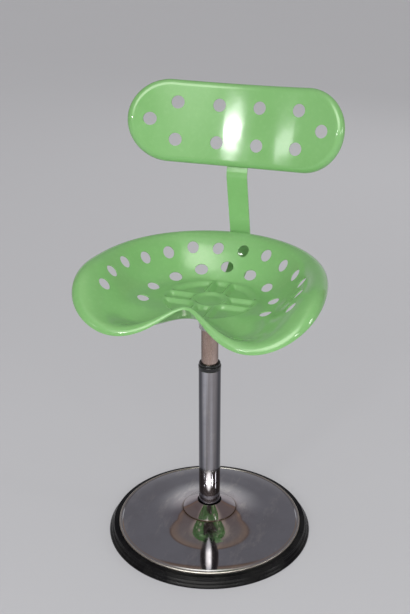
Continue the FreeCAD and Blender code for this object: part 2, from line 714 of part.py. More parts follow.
def seat_fasteners():
    hole = s.bolt_radius + s.bolt_gap
    stud_foot = seat_nut_height - s.bolt_tail
    studs = []
    washers = []
    nuts = []
    for i, (x, y) in enumerate(stud_places(), 1):
        studs.append(rod(f"seat_stud_{i}", s.bolt_radius, pan_underside - stud_foot, (x, y, stud_foot)))
        washer_place = (x, y, plate_bottom_height - s.washer_thickness)
        washers.append(pipe(f"seat_washer_{i}", s.washer_radius, hole, s.washer_thickness, washer_place))
        nut_place = (x, y, seat_nut_height)
        nuts.append(hex_nut(f"seat_nut_{i}", s.nut_corner_radius, s.nut_height, s.bolt_radius, nut_place))
    keep("seat_studs", group("seat_studs_set", studs))
    keep("seat_washers", group("seat_washers_set", washers))
    keep("seat_nuts", group("seat_nuts_set", nuts))


def bar_fasteners():
    hole = s.bolt_radius + s.bolt_gap
    foot = bar_nut_height - s.bolt_tail
    section = [
        (0, foot),
        (s.bolt_radius, foot),
        (s.bolt_radius, plate_top_height - (s.countersink_radius - s.bolt_radius)),
        (s.countersink_radius, plate_top_height),
        (0, plate_top_height),
    ]
    bolts = []
    washers = []
    nuts = []
    for i, y in enumerate((bar_bolt_near, bar_bolt_far), 1):
        bolts.append(turned(f"bar_bolt_{i}", section, (0, y, 0)))
        washer_place = (0, y, bar_bottom_height - s.washer_thickness)
        washers.append(pipe(f"bar_washer_{i}", s.washer_radius, hole, s.washer_thickness, washer_place))
        nut_place = (0, y, bar_nut_height)
        nuts.append(hex_nut(f"bar_nut_{i}", s.nut_corner_radius, s.nut_height, s.bolt_radius, nut_place))
    keep("bar_bolts", group("bar_bolts_set", bolts))
    keep("bar_washers", group("bar_washers_set", washers))
    keep("bar_nuts", group("bar_nuts_set", nuts))


# Seat pan
def outline_reach(angle):
    """Distance of the pan's edge from the drawing centre, at an angle in degrees from the front."""
    angle = min(abs(angle), 360 - abs(angle))
    corner = s.pan_corner_bulge.value * bell(angle - OUTLINE_CORNER_ANGLE, OUTLINE_CORNER_SPREAD)
    notch = NOTCH_REACH_SHARE * s.pan_reach.value * bell(angle, OUTLINE_NOTCH_SPREAD)
    return s.pan_reach.value + corner - notch


def bell(offset, spread):
    """A smooth hump of height one."""
    return math.exp(-((offset / spread) ** 2))


def outward(angle):
    """Unit direction in plan, at an angle in degrees from the front."""
    return Vector(math.sin(math.radians(angle)), -math.cos(math.radians(angle)))


def edge_point(angle):
    """Plan place of the pan's outer edge."""
    return Vector(0, s.pan_centre.value) + outward(angle) * outline_reach(angle)


def edge_normal(angle):
    """Outward direction square to the outline."""
    along = edge_point(angle + 1) - edge_point(angle - 1)
    return Vector(-along.y, along.x).normalize() * -1


def lip_radius(angle):
    """Radius of the turned-down lip, which is small in the front notch."""
    return s.pan_lip_radius.value * (1 - NOTCH_LIP_SHARE * bell(angle, NOTCH_LIP_SPREAD))


def crest_point(angle):
    """Highest line of the rim, one lip radius inside the edge."""
    place = edge_point(angle) - edge_normal(angle) * lip_radius(angle)
    fall = max(0.0, (s.pan_centre.value - place.y) / (FALL_REACH_SHARE * s.pan_reach.value))
    rise = s.pan_rim_rise.value - s.pan_front_drop.value * fall ** FRONT_DROP_POWER
    place.z = pan_floor_height.value + rise
    return place


def wall_foot(angle):
    """Where the bowl's wall starts, on the circle round the pressing."""
    centre = s.pan_centre.value
    radius = s.pressing_radius.value
    lean = centre * math.cos(math.radians(angle))
    reach = lean + math.sqrt(lean * lean - centre * centre + radius * radius)
    place = Vector(0, centre) + outward(angle) * reach
    place.z = pan_floor_height.value
    return place


def wall_rise(share, angle):
    """Share of the wall's height reached at a share of its width."""
    forward = math.cos(math.radians(angle))
    back_weight = max(0.0, -forward) ** 3
    front_weight = max(0.0, forward) ** 3
    power = SIDE_RISE_POWER
    power += back_weight * (BACK_RISE_POWER - SIDE_RISE_POWER)
    power += front_weight * (FRONT_RISE_POWER - SIDE_RISE_POWER)
    return math.sin(share * math.pi / 2) ** power


def wall_point(share, angle):
    """A point of the bowl's wall, from its foot to the crest."""
    foot = wall_foot(angle)
    crest = crest_point(angle)
    place = foot + (crest - foot) * share
    place.z = foot.z + (crest.z - foot.z) * wall_rise(share, angle)
    hollow = math.sin(math.pi * share) ** 1.5 * bell(angle - THIGH_ANGLE, THIGH_SPREAD)
    place.z -= s.pan_thigh_depth.value * hollow
    return place


def ramp(value):
    """Smooth step from nought to one."""
    value = min(1.0, max(0.0, value))
    return value * value * (3 - 2 * value)


def bead(distance):
    """Rounded section of a bead at a distance from its middle."""
    offset = min(1.0, abs(distance) / s.bead_half_width.value)
    return math.cos(offset * math.pi / 2) ** 2


def merged(first, second):
    """Two humps as one, without a crease between them."""
    return 1 - (1 - first) * (1 - second)


def pressing_height(x, y):
    """Height of the pressed centre: a sunk disc, a boss, a ring bead and four arms of two beads."""
    radius = math.hypot(x, y)
    floor = (pan_underside + s.sheet).value
    climb = ramp((radius - pressing_floor_radius.value) / s.pressing_slope.value)
    base = floor + (pan_floor_height.value - floor) * climb
    ring_middle = s.ring_bead_radius.value
    arm_start = ramp((radius - ring_middle + s.bead_half_width.value / 2) / s.bead_half_width.value)
    arms = merged(bead(abs(x) - s.bead_spacing.value), bead(abs(y) - s.bead_spacing.value))
    raised = merged(bead(radius - ring_middle), arms * arm_start)
    boss = s.boss_height.value * (1 - ramp((radius - boss_radius()) / (ring_middle - boss_radius())))
    return base + boss + (floor + s.bead_height.value - base - boss) * raised


def boss_radius():
    """Radius of the flat disc inside the ring bead."""
    return s.ring_bead_radius.value - s.bead_half_width.value


def pressing_radii():
    """Radii of the pressed centre's rings, from the boss out to the wall's foot."""
    step = (s.pressing_radius.value - boss_radius()) / PRESSING_RING_STEPS
    return [boss_radius() + step * i for i in range(PRESSING_RING_STEPS)]


def pressing_ring(radius):
    """Half a ring of the pressed centre, from the front round to the back."""
    points = []
    for i in range(HALF_RING_STEPS + 1):
        way = wall_foot(180 * i / HALF_RING_STEPS)
        way.z = 0
        way = way.normalize() * radius
        points.append(Vector(way.x, way.y, pressing_height(way.x, way.y)))
    return points


def half_angles():
    """Angles of the points along half a ring."""
    return [180 * i / HALF_RING_STEPS for i in range(HALF_RING_STEPS + 1)]


def lip_point(lip_angle, angle):
    """A point of the turned-down lip."""
    bend = math.radians(lip_angle)
    radius = lip_radius(angle)
    place = crest_point(angle) + edge_normal(angle) * (radius * math.sin(bend))
    place.z -= radius * (1 - math.cos(bend))
    return place


def pan_rings():
    """All half rings of the pan's upper face, from the boss to the lip."""
    rings = [pressing_ring(radius) for radius in pressing_radii()]
    rings += [[wall_point(share, angle) for angle in half_angles()] for share in WALL_PLACE_SHARES]
    rings += [[lip_point(lip, angle) for angle in half_angles()] for lip in LIP_ANGLES]
    return rings


def mirrored(point):
    """A point on the other side of the middle plane."""
    return Vector(-point.x, point.y, point.z)


def wall_normals(rings, first):
    """Unit normals of the upper face at the points of the wall and the lip."""
    lip_start = len(rings) - len(LIP_ANGLES)
    normals = []
    for k in range(first, len(rings)):
        row = rings[k]
        line = []
        for i, angle in enumerate(half_angles()):
            before = row[i - 1] if i > 0 else mirrored(row[1])
            after = row[i + 1] if i < HALF_RING_STEPS else mirrored(row[-2])
            along = (after - before).normalize()
            if k < lip_start:
                normal = (rings[k + 1][i] - rings[k - 1][i]).cross(along)
            else:
                bend = math.radians(LIP_ANGLES[k - lip_start])
                normal = edge_normal(angle) * math.sin(bend) + Vector(0, 0, math.cos(bend))
                normal = normal - along * normal.dot(along)
            line.append(normal.normalize())
        normals.append(line)
    return normals


def spline_through(points, places, start, end):
    """A smooth curve through points at given parameters, with its rates of travel at both ends."""
    inner = len(points) - 2
    rates = [start] + [Vector()] * inner + [end]
    given = [True] + [False] * inner + [True]
    curve = Part.BSplineCurve()
    curve.interpolate(Points=points, Parameters=places, Tangents=rates, TangentFlags=given, Scale=False)
    return curve


def ring_places(rings):
    """Parameters of the rings, by their mean distance from each other."""
    places = [0.0]
    for inner, outer in zip(rings, rings[1:]):
        gaps = [(far - near).Length for near, far in zip(inner, outer)]
        places.append(places[-1] + sum(gaps) / len(gaps))
    return [place / places[-1] for place in places]


def half_face(rings):
    """A smooth surface through half rings, square to the middle plane, and its mirror image."""
    round_places = [i / HALF_RING_STEPS for i in range(HALF_RING_STEPS + 1)]
    out_places = ring_places(rings)
    rows = []
    for row in rings:
        start = Vector(row[1].x * HALF_RING_STEPS)
        end = Vector(-row[-2].x * HALF_RING_STEPS)
        rows.append(spline_through(row, round_places, start, end))
    first_step = out_places[1]
    last_step = out_places[-1] - out_places[-2]
    step_before = out_places[-2] - out_places[-3]
    lines = []
    for column in zip(*(row.getPoles() for row in rows)):
        start = (column[1] - column[0]) / first_step
        last_rate = (column[-1] - column[-2]) / last_step
        rate_before = (column[-2] - column[-3]) / step_before
        end = last_rate + (last_rate - rate_before) * (last_step / (last_step + step_before))
        lines.append(spline_through(list(column), out_places, start, end))
    poles = list(zip(*(line.getPoles() for line in lines)))
    surfaces = []
    for grid in (poles, [[mirrored(pole) for pole in row] for row in poles]):
        surface = Part.BSplineSurface()
        surface.buildFromPolesMultsKnots(
            [list(row) for row in grid],
            lines[0].getMultiplicities(),
            rows[0].getMultiplicities(),
            lines[0].getKnots(),
            rows[0].getKnots(),
            False,
            False,
            rows[0].Degree,
            rows[0].Degree,
        )
        surfaces.append(surface)
    return surfaces


def pan_blank():
    """The pan's sheet as a closed solid, before its holes are cut."""
    upper = pan_rings()
    pressed = len(pressing_radii())
    normals = [[Vector(0, 0, 1)] * len(row) for row in upper[:pressed]] + wall_normals(upper, pressed)
    lower = [
        [point - normal * s.sheet.value for point, normal in zip(row, line)]
        for row, line in zip(upper, normals)
    ]
    top = half_face(upper)
    bottom = half_face(lower)
    faces = [surface.toShape() for surface in (*top, *bottom)]
    for pair in (top, bottom):
        first = [surface.uIso(0).toShape() for surface in pair]
        faces.append(Part.Face(Part.Wire(Part.__sortEdges__(first))))
    for sides in zip(top, bottom):
        rims = [Part.Wire(surface.uIso(1).toShape()) for surface in sides]
        faces += Part.makeLoft(rims, False, True).Faces
    shell = Part.Shell(faces)
    shell.sewShape()
    return Part.Solid(Part.Shell(shell.Faces))


def wall_height(x, y):
    """Height of the bowl's wall above a place in plan."""
    way = Vector(x, y - s.pan_centre.value)
    angle = math.degrees(math.atan2(abs(way.x), -way.y))
    foot = wall_foot(angle)
    crest = crest_point(angle)
    foot_reach = math.hypot(foot.x, foot.y - s.pan_centre.value)
    crest_reach = math.hypot(crest.x, crest.y - s.pan_centre.value)
    return wall_point((way.Length - foot_reach) / (crest_reach - foot_reach), angle).z


def row_places(half_row, shift):
    """Hole places of one row, given by half of it, as angles from the back and shares of the wall."""
    centre = (s.pan_centre + shift).value
    inner = s.pressing_radius.value
    places = []
    for angle, share in half_row:
        radius = inner + (s.pan_reach.value - inner) * share
        turn = math.radians(angle)
        for side in (-1, 1) if angle else (1,):
            places.append((side * radius * math.sin(turn), centre + radius * math.cos(turn)))
    return places


def hole_cutter(x, y, up, across):
    """An oval bar through the bowl's wall, square to it, with its length up the slope."""
    step = s.sheet.value
    slope_x = (wall_height(x + step, y) - wall_height(x - step, y)) / (2 * step)
    slope_y = (wall_height(x, y + step) - wall_height(x, y - step)) / (2 * step)
    normal = Vector(-slope_x, -slope_y, 1).normalize()
    level = Vector(slope_y, -slope_x, 0).normalize()
    uphill = normal.cross(level)
    long_way, short_way = (uphill, level) if up.value > across.value else (level, uphill)
    long_half, short_half = sorted((up.value, across.value), reverse=True)
    reach = s.sheet.value + 2 * s.overrun.value
    start = Vector(x, y, wall_height(x, y)) - normal * reach
    oval = Part.Ellipse(start + long_way * long_half, start + short_way * short_half, start)
    return Part.Face(Part.Wire(oval.toShape())).extrude(normal * (2 * reach))


def hole_cutters():
    """The tools for both rows of holes."""
    outer_row = zip(OUTER_ROW_HALF_ANGLES, OUTER_ROW_SHARES)
    inner_row = [(angle, INNER_ROW_SHARE) for angle in INNER_ROW_HALF_ANGLES]
    cutters = []
    for x, y in row_places(outer_row, s.outer_row_shift):
        cutters.append(hole_cutter(x, y, s.outer_hole_up, s.outer_hole_across))
    for x, y in row_places(inner_row, s.inner_row_shift):
        cutters.append(hole_cutter(x, y, s.inner_hole_up, s.inner_hole_across))
    return cutters


def seat_pan():
    pan = doc.addObject("Part::Feature", "seat_pan_form")
    pan.Shape = pan_blank().cut(hole_cutters())
    keep("seat_pan", pan)


# Backrest and its bar
def arc_sector(sketch, centre, inner, outer, half_width):
    """Outline between two arcs about a centre above the origin, cut off square at both ends."""
    for radius in (inner, outer):
        reach = math.asin(half_width.value / radius.value)
        circle = Part.Circle(Vector(0, centre.value), Vector(0, 0, 1), radius.value)
        sketch.addGeometry(Part.ArcOfCircle(circle, -math.pi / 2 - reach, -math.pi / 2 + reach), False)
    for end in (1, 2):
        sketch.addGeometry(Part.LineSegment(sketch.getPoint(0, end), sketch.getPoint(1, end)), False)
        line = 1 + end
        sketch.addConstraint(Sketcher.Constraint("Coincident", line, 1, 0, end))
        sketch.addConstraint(Sketcher.Constraint("Coincident", line, 2, 1, end))
        sketch.addConstraint(Sketcher.Constraint("Vertical", line))
    sketch.addConstraint(Sketcher.Constraint("Coincident", 0, 3, 1, 3))
    sketch.addConstraint(Sketcher.Constraint("PointOnObject", 0, 3, -2))
    constrain(sketch, centre, "DistanceY", -1, 1, 0, 3)
    constrain(sketch, inner, "Radius", 0)
    constrain(sketch, outer, "Radius", 1)
    constrain(sketch, half_width, "DistanceX", 0, 1, -1, 1)
    constrain(sketch, half_width, "DistanceX", -1, 1, 0, 2)


def round_ended(sketch, half_length, radius):
    """Outline with straight sides and half-round ends."""
    straight = half_length - radius
    run = straight.value
    high = radius.value
    sketch.addGeometry(Part.LineSegment(Vector(-run, high), Vector(run, high)), False)
    sketch.addGeometry(Part.LineSegment(Vector(run, -high), Vector(-run, -high)), False)
    for side, start in ((1, -math.pi / 2), (-1, math.pi / 2)):
        circle = Part.Circle(Vector(side * run, 0), Vector(0, 0, 1), high)
        sketch.addGeometry(Part.ArcOfCircle(circle, start, start + math.pi), False)
    for joint in ((0, 2, 2, 2), (1, 1, 2, 1), (0, 1, 3, 1), (1, 2, 3, 2)):
        sketch.addConstraint(Sketcher.Constraint("Coincident", *joint))
    for arc, line, end in ((2, 0, 2), (2, 1, 1), (3, 0, 1), (3, 1, 2)):
        sketch.addConstraint(Sketcher.Constraint("Vertical", arc, 3, line, end))
    for arc in (2, 3):
        sketch.addConstraint(Sketcher.Constraint("PointOnObject", arc, 3, -1))
    constrain(sketch, straight, "DistanceX", -1, 1, 2, 3)
    constrain(sketch, straight, "DistanceX", 3, 3, -1, 1)
    constrain(sketch, radius, "Radius", 2)
    sketch.addConstraint(Sketcher.Constraint("Equal", 2, 3))


def padded(name, role, draw, start, length):
    """A body in the backrest's own directions: a sketch padded from a start height."""
    body = doc.addObject("PartDesign::Body", name)
    sketch = on_plane(body, role, name + "_outline")
    bind(sketch, "AttachmentOffset.Base.z", start)
    draw(sketch)
    pad = body.newObject("PartDesign::Pad", name + "_pad")
    pad.Profile = sketch
    bind(pad, "Length", length)
    return put(body, (0, s.back_place, back_height), back_turn)


def back_form(name, inset, rear):
    """The backrest's bent, round-ended form, drawn in by an inset all round and in front."""
    bend = s.back_bend_radius + inset
    reach = s.back_half_length + s.overrun
    half_height = s.back_half_height + s.overrun
    forward = reach * reach / s.back_bend_radius
    curve = padded(
        name + "_curve",
        "XZ_Plane",
        lambda sketch: arc_sector(sketch, s.back_bend_radius, bend, s.back_bend_radius + rear, reach),
        -half_height,
        2 * half_height,
    )
    slab = padded(
        name + "_slab",
        "XY_Plane",
        lambda sketch: round_ended(sketch, s.back_half_length - inset, s.back_half_height - inset),
        -rear - s.overrun,
        rear + forward,
    )
    blank = doc.addObject("Part::Common", name + "_blank")
    blank.Base = curve
    blank.Tool = slab
    doc.recompute()
    axis = Vector(*(dim.value for dim in behind_back(0, as_dim(0), -s.back_bend_radius)))
    way = Vector(0, s.back_lean.sine().value, s.back_lean.cosine().value)
    rounded = doc.addObject("Part::Fillet", name)
    rounded.Base = blank
    radius = (s.back_round - inset).value
    rounded.Edges = [
        (i, radius, radius)
        for i, edge in enumerate(blank.Shape.Edges, 1)
        if on_cylinder(edge, axis, way, bend.value)
    ]
    return rounded


def on_cylinder(edge, axis, way, radius):
    """Whether an edge lies on a cylinder, given by a point of its axis and its direction."""
    span = edge.LastParameter - edge.FirstParameter
    for share in (0.0, 0.35, 0.7, 1.0):
        offset = edge.valueAt(edge.FirstParameter + share * span) - axis
        if abs((offset - way * offset.dot(way)).Length / radius - 1) > 1e-5:
            return False
    return True


def backrest():
    outside = back_form("back_outside", as_dim(0), s.back_depth)
    inside = back_form("back_inside", s.sheet, s.back_depth + s.overrun)
    shell = cut("back_shell", outside, inside)
    places = [(back_pitch * x, back_row * y) for x in (-1.5, -0.5, 0.5, 1.5) for y in (-1, 1)]
    places += [(back_end_hole * x, as_dim(0)) for x in (-1, 1)]
    depth = s.back_depth + s.overrun
    length = depth + s.back_half_length * s.back_half_length / s.back_bend_radius
    holes = []
    for i, (across, up) in enumerate(places, 1):
        start = behind_back(across, up, depth)
        holes.append(rod(f"back_hole_{i}", s.back_hole_radius, length, start, back_turn))
    keep("backrest", cut("backrest_cut", shell, group("back_holes", holes)))


def back_bar():
    """A flat bar swept along its route: back under the pan, up behind it and up the backrest."""
    body = doc.addObject("PartDesign::Body", "back_bar_body")
    route = on_plane(body, "YZ_Plane", "back_bar_route")
    middle_height = plate_bottom_height - s.bar_thickness / 2
    depth = s.bar_standoff + s.bar_thickness / 2
    kink_up = (depth * s.back_lean.sine() - s.bar_kink_drop) / s.back_lean.cosine()
    kink = behind_back(0, kink_up, depth)
    end = behind_back(0, s.bar_end, depth)
    tilt = math.radians(s.bar_tilt.value)
    sweep = s.bar_sweep_radius.value
    rise = kink[2].value - middle_height.value
    corner = Vector(kink[1].value + rise * math.tan(tilt), middle_height.value)
    start = Vector(bar_start.value, middle_height.value)
    top = Vector(end[1].value, end[2].value)
    bend_point = Vector(kink[1].value, kink[2].value)
    upright = (bend_point - corner).normalize()
    leaning = (top - bend_point).normalize()
    setback = sweep * math.tan((math.pi / 2 + tilt) / 2)
    half_turn = (tilt + math.radians(s.back_lean.value)) / 2
    kink_setback = s.bar_kink_radius.value * math.tan(half_turn)
    sweep_start = corner - Vector(setback, 0)
    sweep_end = corner + upright * setback
    kink_start = bend_point - upright * kink_setback
    kink_end = bend_point + leaning * kink_setback
    sweep_middle = sweep_start + Vector(0, sweep)
    side = Vector(upright.y, -upright.x)
    kink_middle = kink_start + side * s.bar_kink_radius.value
    route.addGeometry(Part.LineSegment(start, sweep_start), False)
    circle = Part.Circle(sweep_middle, Vector(0, 0, 1), sweep)
    route.addGeometry(Part.ArcOfCircle(circle, -math.pi / 2, tilt), False)
    route.addGeometry(Part.LineSegment(sweep_end, kink_start), False)
    circle = Part.Circle(kink_middle, Vector(0, 0, 1), s.bar_kink_radius.value)
    turn = math.radians(s.back_lean.value)
    route.addGeometry(Part.ArcOfCircle(circle, math.pi - turn, math.pi + tilt), False)
    route.addGeometry(Part.LineSegment(kink_end, top), False)
    for joint in ((0, 2, 1, 1), (1, 2, 2, 1), (2, 2, 3, 2), (3, 1, 4, 1)):
        route.addConstraint(Sketcher.Constraint("Tangent", *joint))
    route.addConstraint(Sketcher.Constraint("Horizontal", 0))
    constrain(route, bar_start, "DistanceX", -1, 1, 0, 1)
    constrain(route, middle_height, "DistanceY", -1, 1, 0, 1)
    constrain(route, s.bar_sweep_radius, "Radius", 1)
    constrain(route, s.bar_kink_radius, "Radius", 3)
    constrain(route, end[1], "DistanceX", -1, 1, 4, 2)
    constrain(route, end[2], "DistanceY", -1, 1, 4, 2)
    angle = route.addConstraint(Sketcher.Constraint("Angle", -2, 2, math.radians(s.bar_tilt.value)))
    route.setExpression(f"Constraints[{angle}]", f"{s.bar_tilt.text} * 1 deg")
    angle = route.addConstraint(Sketcher.Constraint("Angle", 4, -2, math.radians(s.back_lean.value)))
    route.setExpression(f"Constraints[{angle}]", f"{s.back_lean.text} * 1 deg")
    section = on_plane(body, "XZ_Plane", "back_bar_section")
    bind(section, "AttachmentOffset.Base.z", -bar_start)
    wide = s.bar_half_width
    low = bar_bottom_height
    high = plate_bottom_height
    polygon(section, [(-wide, low), (wide, low), (wide, high), (-wide, high)])
    pipe_form = body.newObject("PartDesign::AdditivePipe", "back_bar_pipe")
    pipe_form.Profile = section
    pipe_form.Spine = (route, [])
    hole = s.bolt_radius + s.bolt_gap
    through = s.bar_thickness + 2 * s.overrun
    tools = []
    for i, y in enumerate((bar_bolt_near, bar_bolt_far), 1):
        tools.append(rod(f"bar_hole_{i}", hole, through, (0, y, low - s.overrun)))
    for i, up in enumerate((-s.back_bolt_place, s.back_bolt_place), 3):
        foot = behind_back(0, up, back_clamp + s.overrun)
        tools.append(rod(f"bar_hole_{i}", hole, through, foot, back_turn))
    keep("back_bar", cut("back_bar_cut", body, group("back_bar_holes", tools)))


def back_fasteners():
    hole = s.bolt_radius + s.bolt_gap
    nut_depth = back_clamp + s.washer_thickness + s.nut_height
    stud_depth = nut_depth + s.bolt_tail
    spacer_length = s.bar_standoff - s.sheet
    studs = []
    spacers = []
    washers = []
    nuts = []
    for i, up in enumerate((-s.back_bolt_place, s.back_bolt_place), 1):
        foot = behind_back(0, up, stud_depth)
        studs.append(rod(f"back_stud_{i}", s.bolt_radius, stud_depth - s.sheet, foot, back_turn))
        foot = behind_back(0, up, s.bar_standoff)
        spacers.append(pipe(f"back_spacer_{i}", s.spacer_radius, hole, spacer_length, foot, back_turn))
        foot = behind_back(0, up, back_clamp + s.washer_thickness)
        washers.append(pipe(f"back_washer_{i}", s.washer_radius, hole, s.washer_thickness, foot, back_turn))
        foot = behind_back(0, up, nut_depth)
        corner = s.nut_corner_radius
        nuts.append(hex_nut(f"back_nut_{i}", corner, s.nut_height, s.bolt_radius, foot, back_turn))
    keep("back_studs", group("back_studs_set", studs))
    keep("back_spacers", group("back_spacers_set", spacers))
    keep("back_washers", group("back_washers_set", washers))
    keep("back_nuts", group("back_nuts_set", nuts))


floor_ring()
base_weight()
base_cover()
foot_cone()
fixed_column()
screw_and_stop()
guide_collar()
rising_column()
head_pin()
bearing_balls()
swivel_hub()
seat_plate()
seat_fasteners()
seat_pan()
back_bar()
bar_fasteners()
backrest()
back_fasteners()
doc.recompute()

for obj in doc.Objects:
    if "Invalid" in obj.State or "Error" in obj.State:
        raise RuntimeError(f"{obj.Name} did not recompute: {obj.State}")

for label, obj in nodes:
    shape = obj.Shape
    if shape.isNull() or not shape.isValid():
        raise RuntimeError(f"{label} has no valid shape")
    shape.exportStep(f"parts/{label}.step")
    print(f"{label}: {len(shape.Solids)} solids, {shape.Volume:.0f} cubic mm")
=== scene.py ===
import bpy
import json
import math
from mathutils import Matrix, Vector

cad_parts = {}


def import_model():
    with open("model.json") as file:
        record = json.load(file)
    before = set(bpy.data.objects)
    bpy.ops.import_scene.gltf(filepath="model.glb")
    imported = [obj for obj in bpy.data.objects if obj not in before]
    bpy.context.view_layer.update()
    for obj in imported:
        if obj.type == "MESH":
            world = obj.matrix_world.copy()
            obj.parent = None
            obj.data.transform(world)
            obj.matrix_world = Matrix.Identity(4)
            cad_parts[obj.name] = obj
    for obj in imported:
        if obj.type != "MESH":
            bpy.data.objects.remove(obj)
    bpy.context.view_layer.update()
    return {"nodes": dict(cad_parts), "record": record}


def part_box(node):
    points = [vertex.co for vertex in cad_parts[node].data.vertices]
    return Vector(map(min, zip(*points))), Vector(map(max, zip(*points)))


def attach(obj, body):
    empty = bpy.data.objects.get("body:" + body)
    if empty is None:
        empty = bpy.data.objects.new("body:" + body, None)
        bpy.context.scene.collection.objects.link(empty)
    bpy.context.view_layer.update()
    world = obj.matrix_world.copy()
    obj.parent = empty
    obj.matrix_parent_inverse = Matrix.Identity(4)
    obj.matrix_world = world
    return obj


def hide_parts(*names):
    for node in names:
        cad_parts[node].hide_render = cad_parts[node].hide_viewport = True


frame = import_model()
NODES = frame["nodes"]
MM = 0.001


# ---------------------------------------------------------------------------
# Node trees
# ---------------------------------------------------------------------------

class Wire:
    """An output of a node; arithmetic on it adds Math nodes."""

    def __init__(self, finish, socket):
        self.finish = finish
        self.socket = socket

    def maths(self, operation, *values):
        inputs = dict(enumerate(values))
        return self.finish.node("ShaderNodeMath", {"operation": operation}, inputs)[0]

    def __add__(self, other):
        return self.maths("ADD", self, other)

    def __radd__(self, other):
        return self.maths("ADD", other, self)

    def __sub__(self, other):
        return self.maths("SUBTRACT", self, other)

    def __rsub__(self, other):
        return self.maths("SUBTRACT", other, self)

    def __mul__(self, other):
        return self.maths("MULTIPLY", self, other)

    def __rmul__(self, other):
        return self.maths("MULTIPLY", other, self)

    def __truediv__(self, other):
        return self.maths("DIVIDE", self, other)

    def most(self, other):
        """The larger of the two."""
        return self.maths("MAXIMUM", self, other)

    def size(self):
        """The number without its sign."""
        return self.maths("ABSOLUTE", self)

    def root(self):
        return self.maths("SQRT", self)

    def between(self, low, high):
        """0 under low, 1 over high and a smooth step between them."""
        return self.finish.node(
            "ShaderNodeMapRange", {"interpolation_type": "SMOOTHSTEP"},
            {"Value": self, "From Min": low, "From Max": high},
        )["Result"]


class Outputs:
    """The outputs of a node by name or number, as wires."""

    def __init__(self, finish, made):
        self.finish = finish
        self.made = made

    def __getitem__(self, key):
        return Wire(self.finish, self.made.outputs[key])


class Tree:
    """A node tree, with one call that adds any node."""

    def __init__(self, tree):
        self.tree = tree
        tree.nodes.clear()

    def node(self, kind, settings=None, inputs=None):
        """Adds a node, applies its settings, then fills its sockets; gives its outputs."""
        made = self.tree.nodes.new(kind)
        for key, value in (settings or {}).items():
            setattr(made, key, value)
        for key, value in (inputs or {}).items():
            self.fill(made.inputs[key], value)
        return Outputs(self, made)

    def fill(self, socket, value):
        """Links a wire to the socket, or writes a number or a colour of three parts into it."""
        if isinstance(value, Wire):
            self.tree.links.new(value.socket, socket)
        elif socket.type == "RGBA" and len(value) == 3:
            socket.default_value = (*value, 1.0)
        else:
            socket.default_value = value

    def mix(self, share, first, second):
        """Colour mix: first at share 0, second at share 1."""
        return self.node(
            "ShaderNodeMix", {"data_type": "RGBA", "clamp_factor": True},
            {0: share, 6: first, 7: second},
        )[2]

    def seen_rays(self):
        """1 for rays that the eye follows: straight, mirrored or through glass."""
        path = self.node("ShaderNodeLightPath")
        return path["Is Camera Ray"].most(path["Is Glossy Ray"]).most(path["Is Transmission Ray"])


class Finish(Tree):
    """One procedural material in the piece's own coordinates, built on the Principled shader."""

    def __init__(self, name):
        self.material = bpy.data.materials.new(name)
        self.material.use_nodes = True
        super().__init__(self.material.node_tree)
        self.shader = self.tree.nodes.new("ShaderNodeBsdfPrincipled")
        self.surface = self.tree.nodes.new("ShaderNodeOutputMaterial").inputs["Surface"]
        self.fill(self.surface, Wire(self, self.shader.outputs[0]))
        self.place = self.node("ShaderNodeTexCoord")["Object"]

    def set(self, **sockets):
        """Fills the shader's sockets; an underscore stands for a space."""
        for key, value in sockets.items():
            self.fill(self.shader.inputs[key.replace("_", " ")], value)

    def axes(self):
        """The x, y and z of a point on the piece."""
        parts = self.node("ShaderNodeSeparateXYZ", {}, {"Vector": self.place})
        return parts["X"], parts["Y"], parts["Z"]

    def noise(self, scale, detail=3.0, roughness=0.55, stretch=None):
        """Noise about 0.5, with scale in lumps per metre; a small stretch draws lumps out."""
        place = self.place
        if stretch:
            inputs = {"Vector": place, "Scale": stretch}
            place = self.node("ShaderNodeMapping", {}, inputs)["Vector"]
        return self.node(
            "ShaderNodeTexNoise", {"noise_dimensions": "3D"},
            {"Vector": place, "Scale": scale, "Detail": detail, "Roughness": roughness},
        )[0]

    def dots(self, scale, small, large):
        """1 at the heart of scattered dots and 0 between them, with scale in dots per metre."""
        inputs = {"Vector": self.place, "Scale": scale}
        return 1.0 - self.node("ShaderNodeTexVoronoi", {}, inputs)["Distance"].between(small, large)

    def facing(self):
        """0 on faces turned to the viewer, 1 on those seen edge on."""
        return self.node("ShaderNodeLayerWeight", {}, {"Blend": 0.5})["Facing"]

    def rounded_normal(self, radius, samples):
        inputs = {"Radius": radius}
        return self.node("ShaderNodeBevel", {"samples": samples}, inputs)["Normal"]

    def edges(self, radius):
        """1 on edges of about this radius, 0 on the faces between them."""
        inputs = {
            0: self.rounded_normal(radius, samples=4),
            1: self.node("ShaderNodeNewGeometry")["Normal"],
        }
        cosine = self.node("ShaderNodeVectorMath", {"operation": "DOT_PRODUCT"}, inputs)["Value"]
        return (1.0 - cosine).between(0.01, 0.16)

    def hollows(self, reach):
        """1 in corners and beads no wider than about reach, 0 on open faces."""
        shade = self.node(
            "ShaderNodeAmbientOcclusion", {"samples": 8, "only_local": True}, {"Distance": reach}
        )["AO"]
        return 1.0 - shade.between(0.35, 0.92)

    def bump(self, height, distance, under=None):
        """A normal from a height of up to distance, laid over another normal if one is given."""
        inputs = {"Height": height, "Distance": distance, "Strength": 1.0}
        if under:
            inputs["Normal"] = under
        return self.node("ShaderNodeBump", {}, inputs)["Normal"]


# ---------------------------------------------------------------------------
# Materials: colours are linear red, green and blue
# ---------------------------------------------------------------------------

PALE_GREEN = (0.40, 0.68, 0.33)
NIB_GREEN = (0.16, 0.26, 0.10)
WORN_GREEN = (0.42, 0.66, 0.34)
SHADE_AND_GRIME_GREEN = (0.115, 0.20, 0.065)

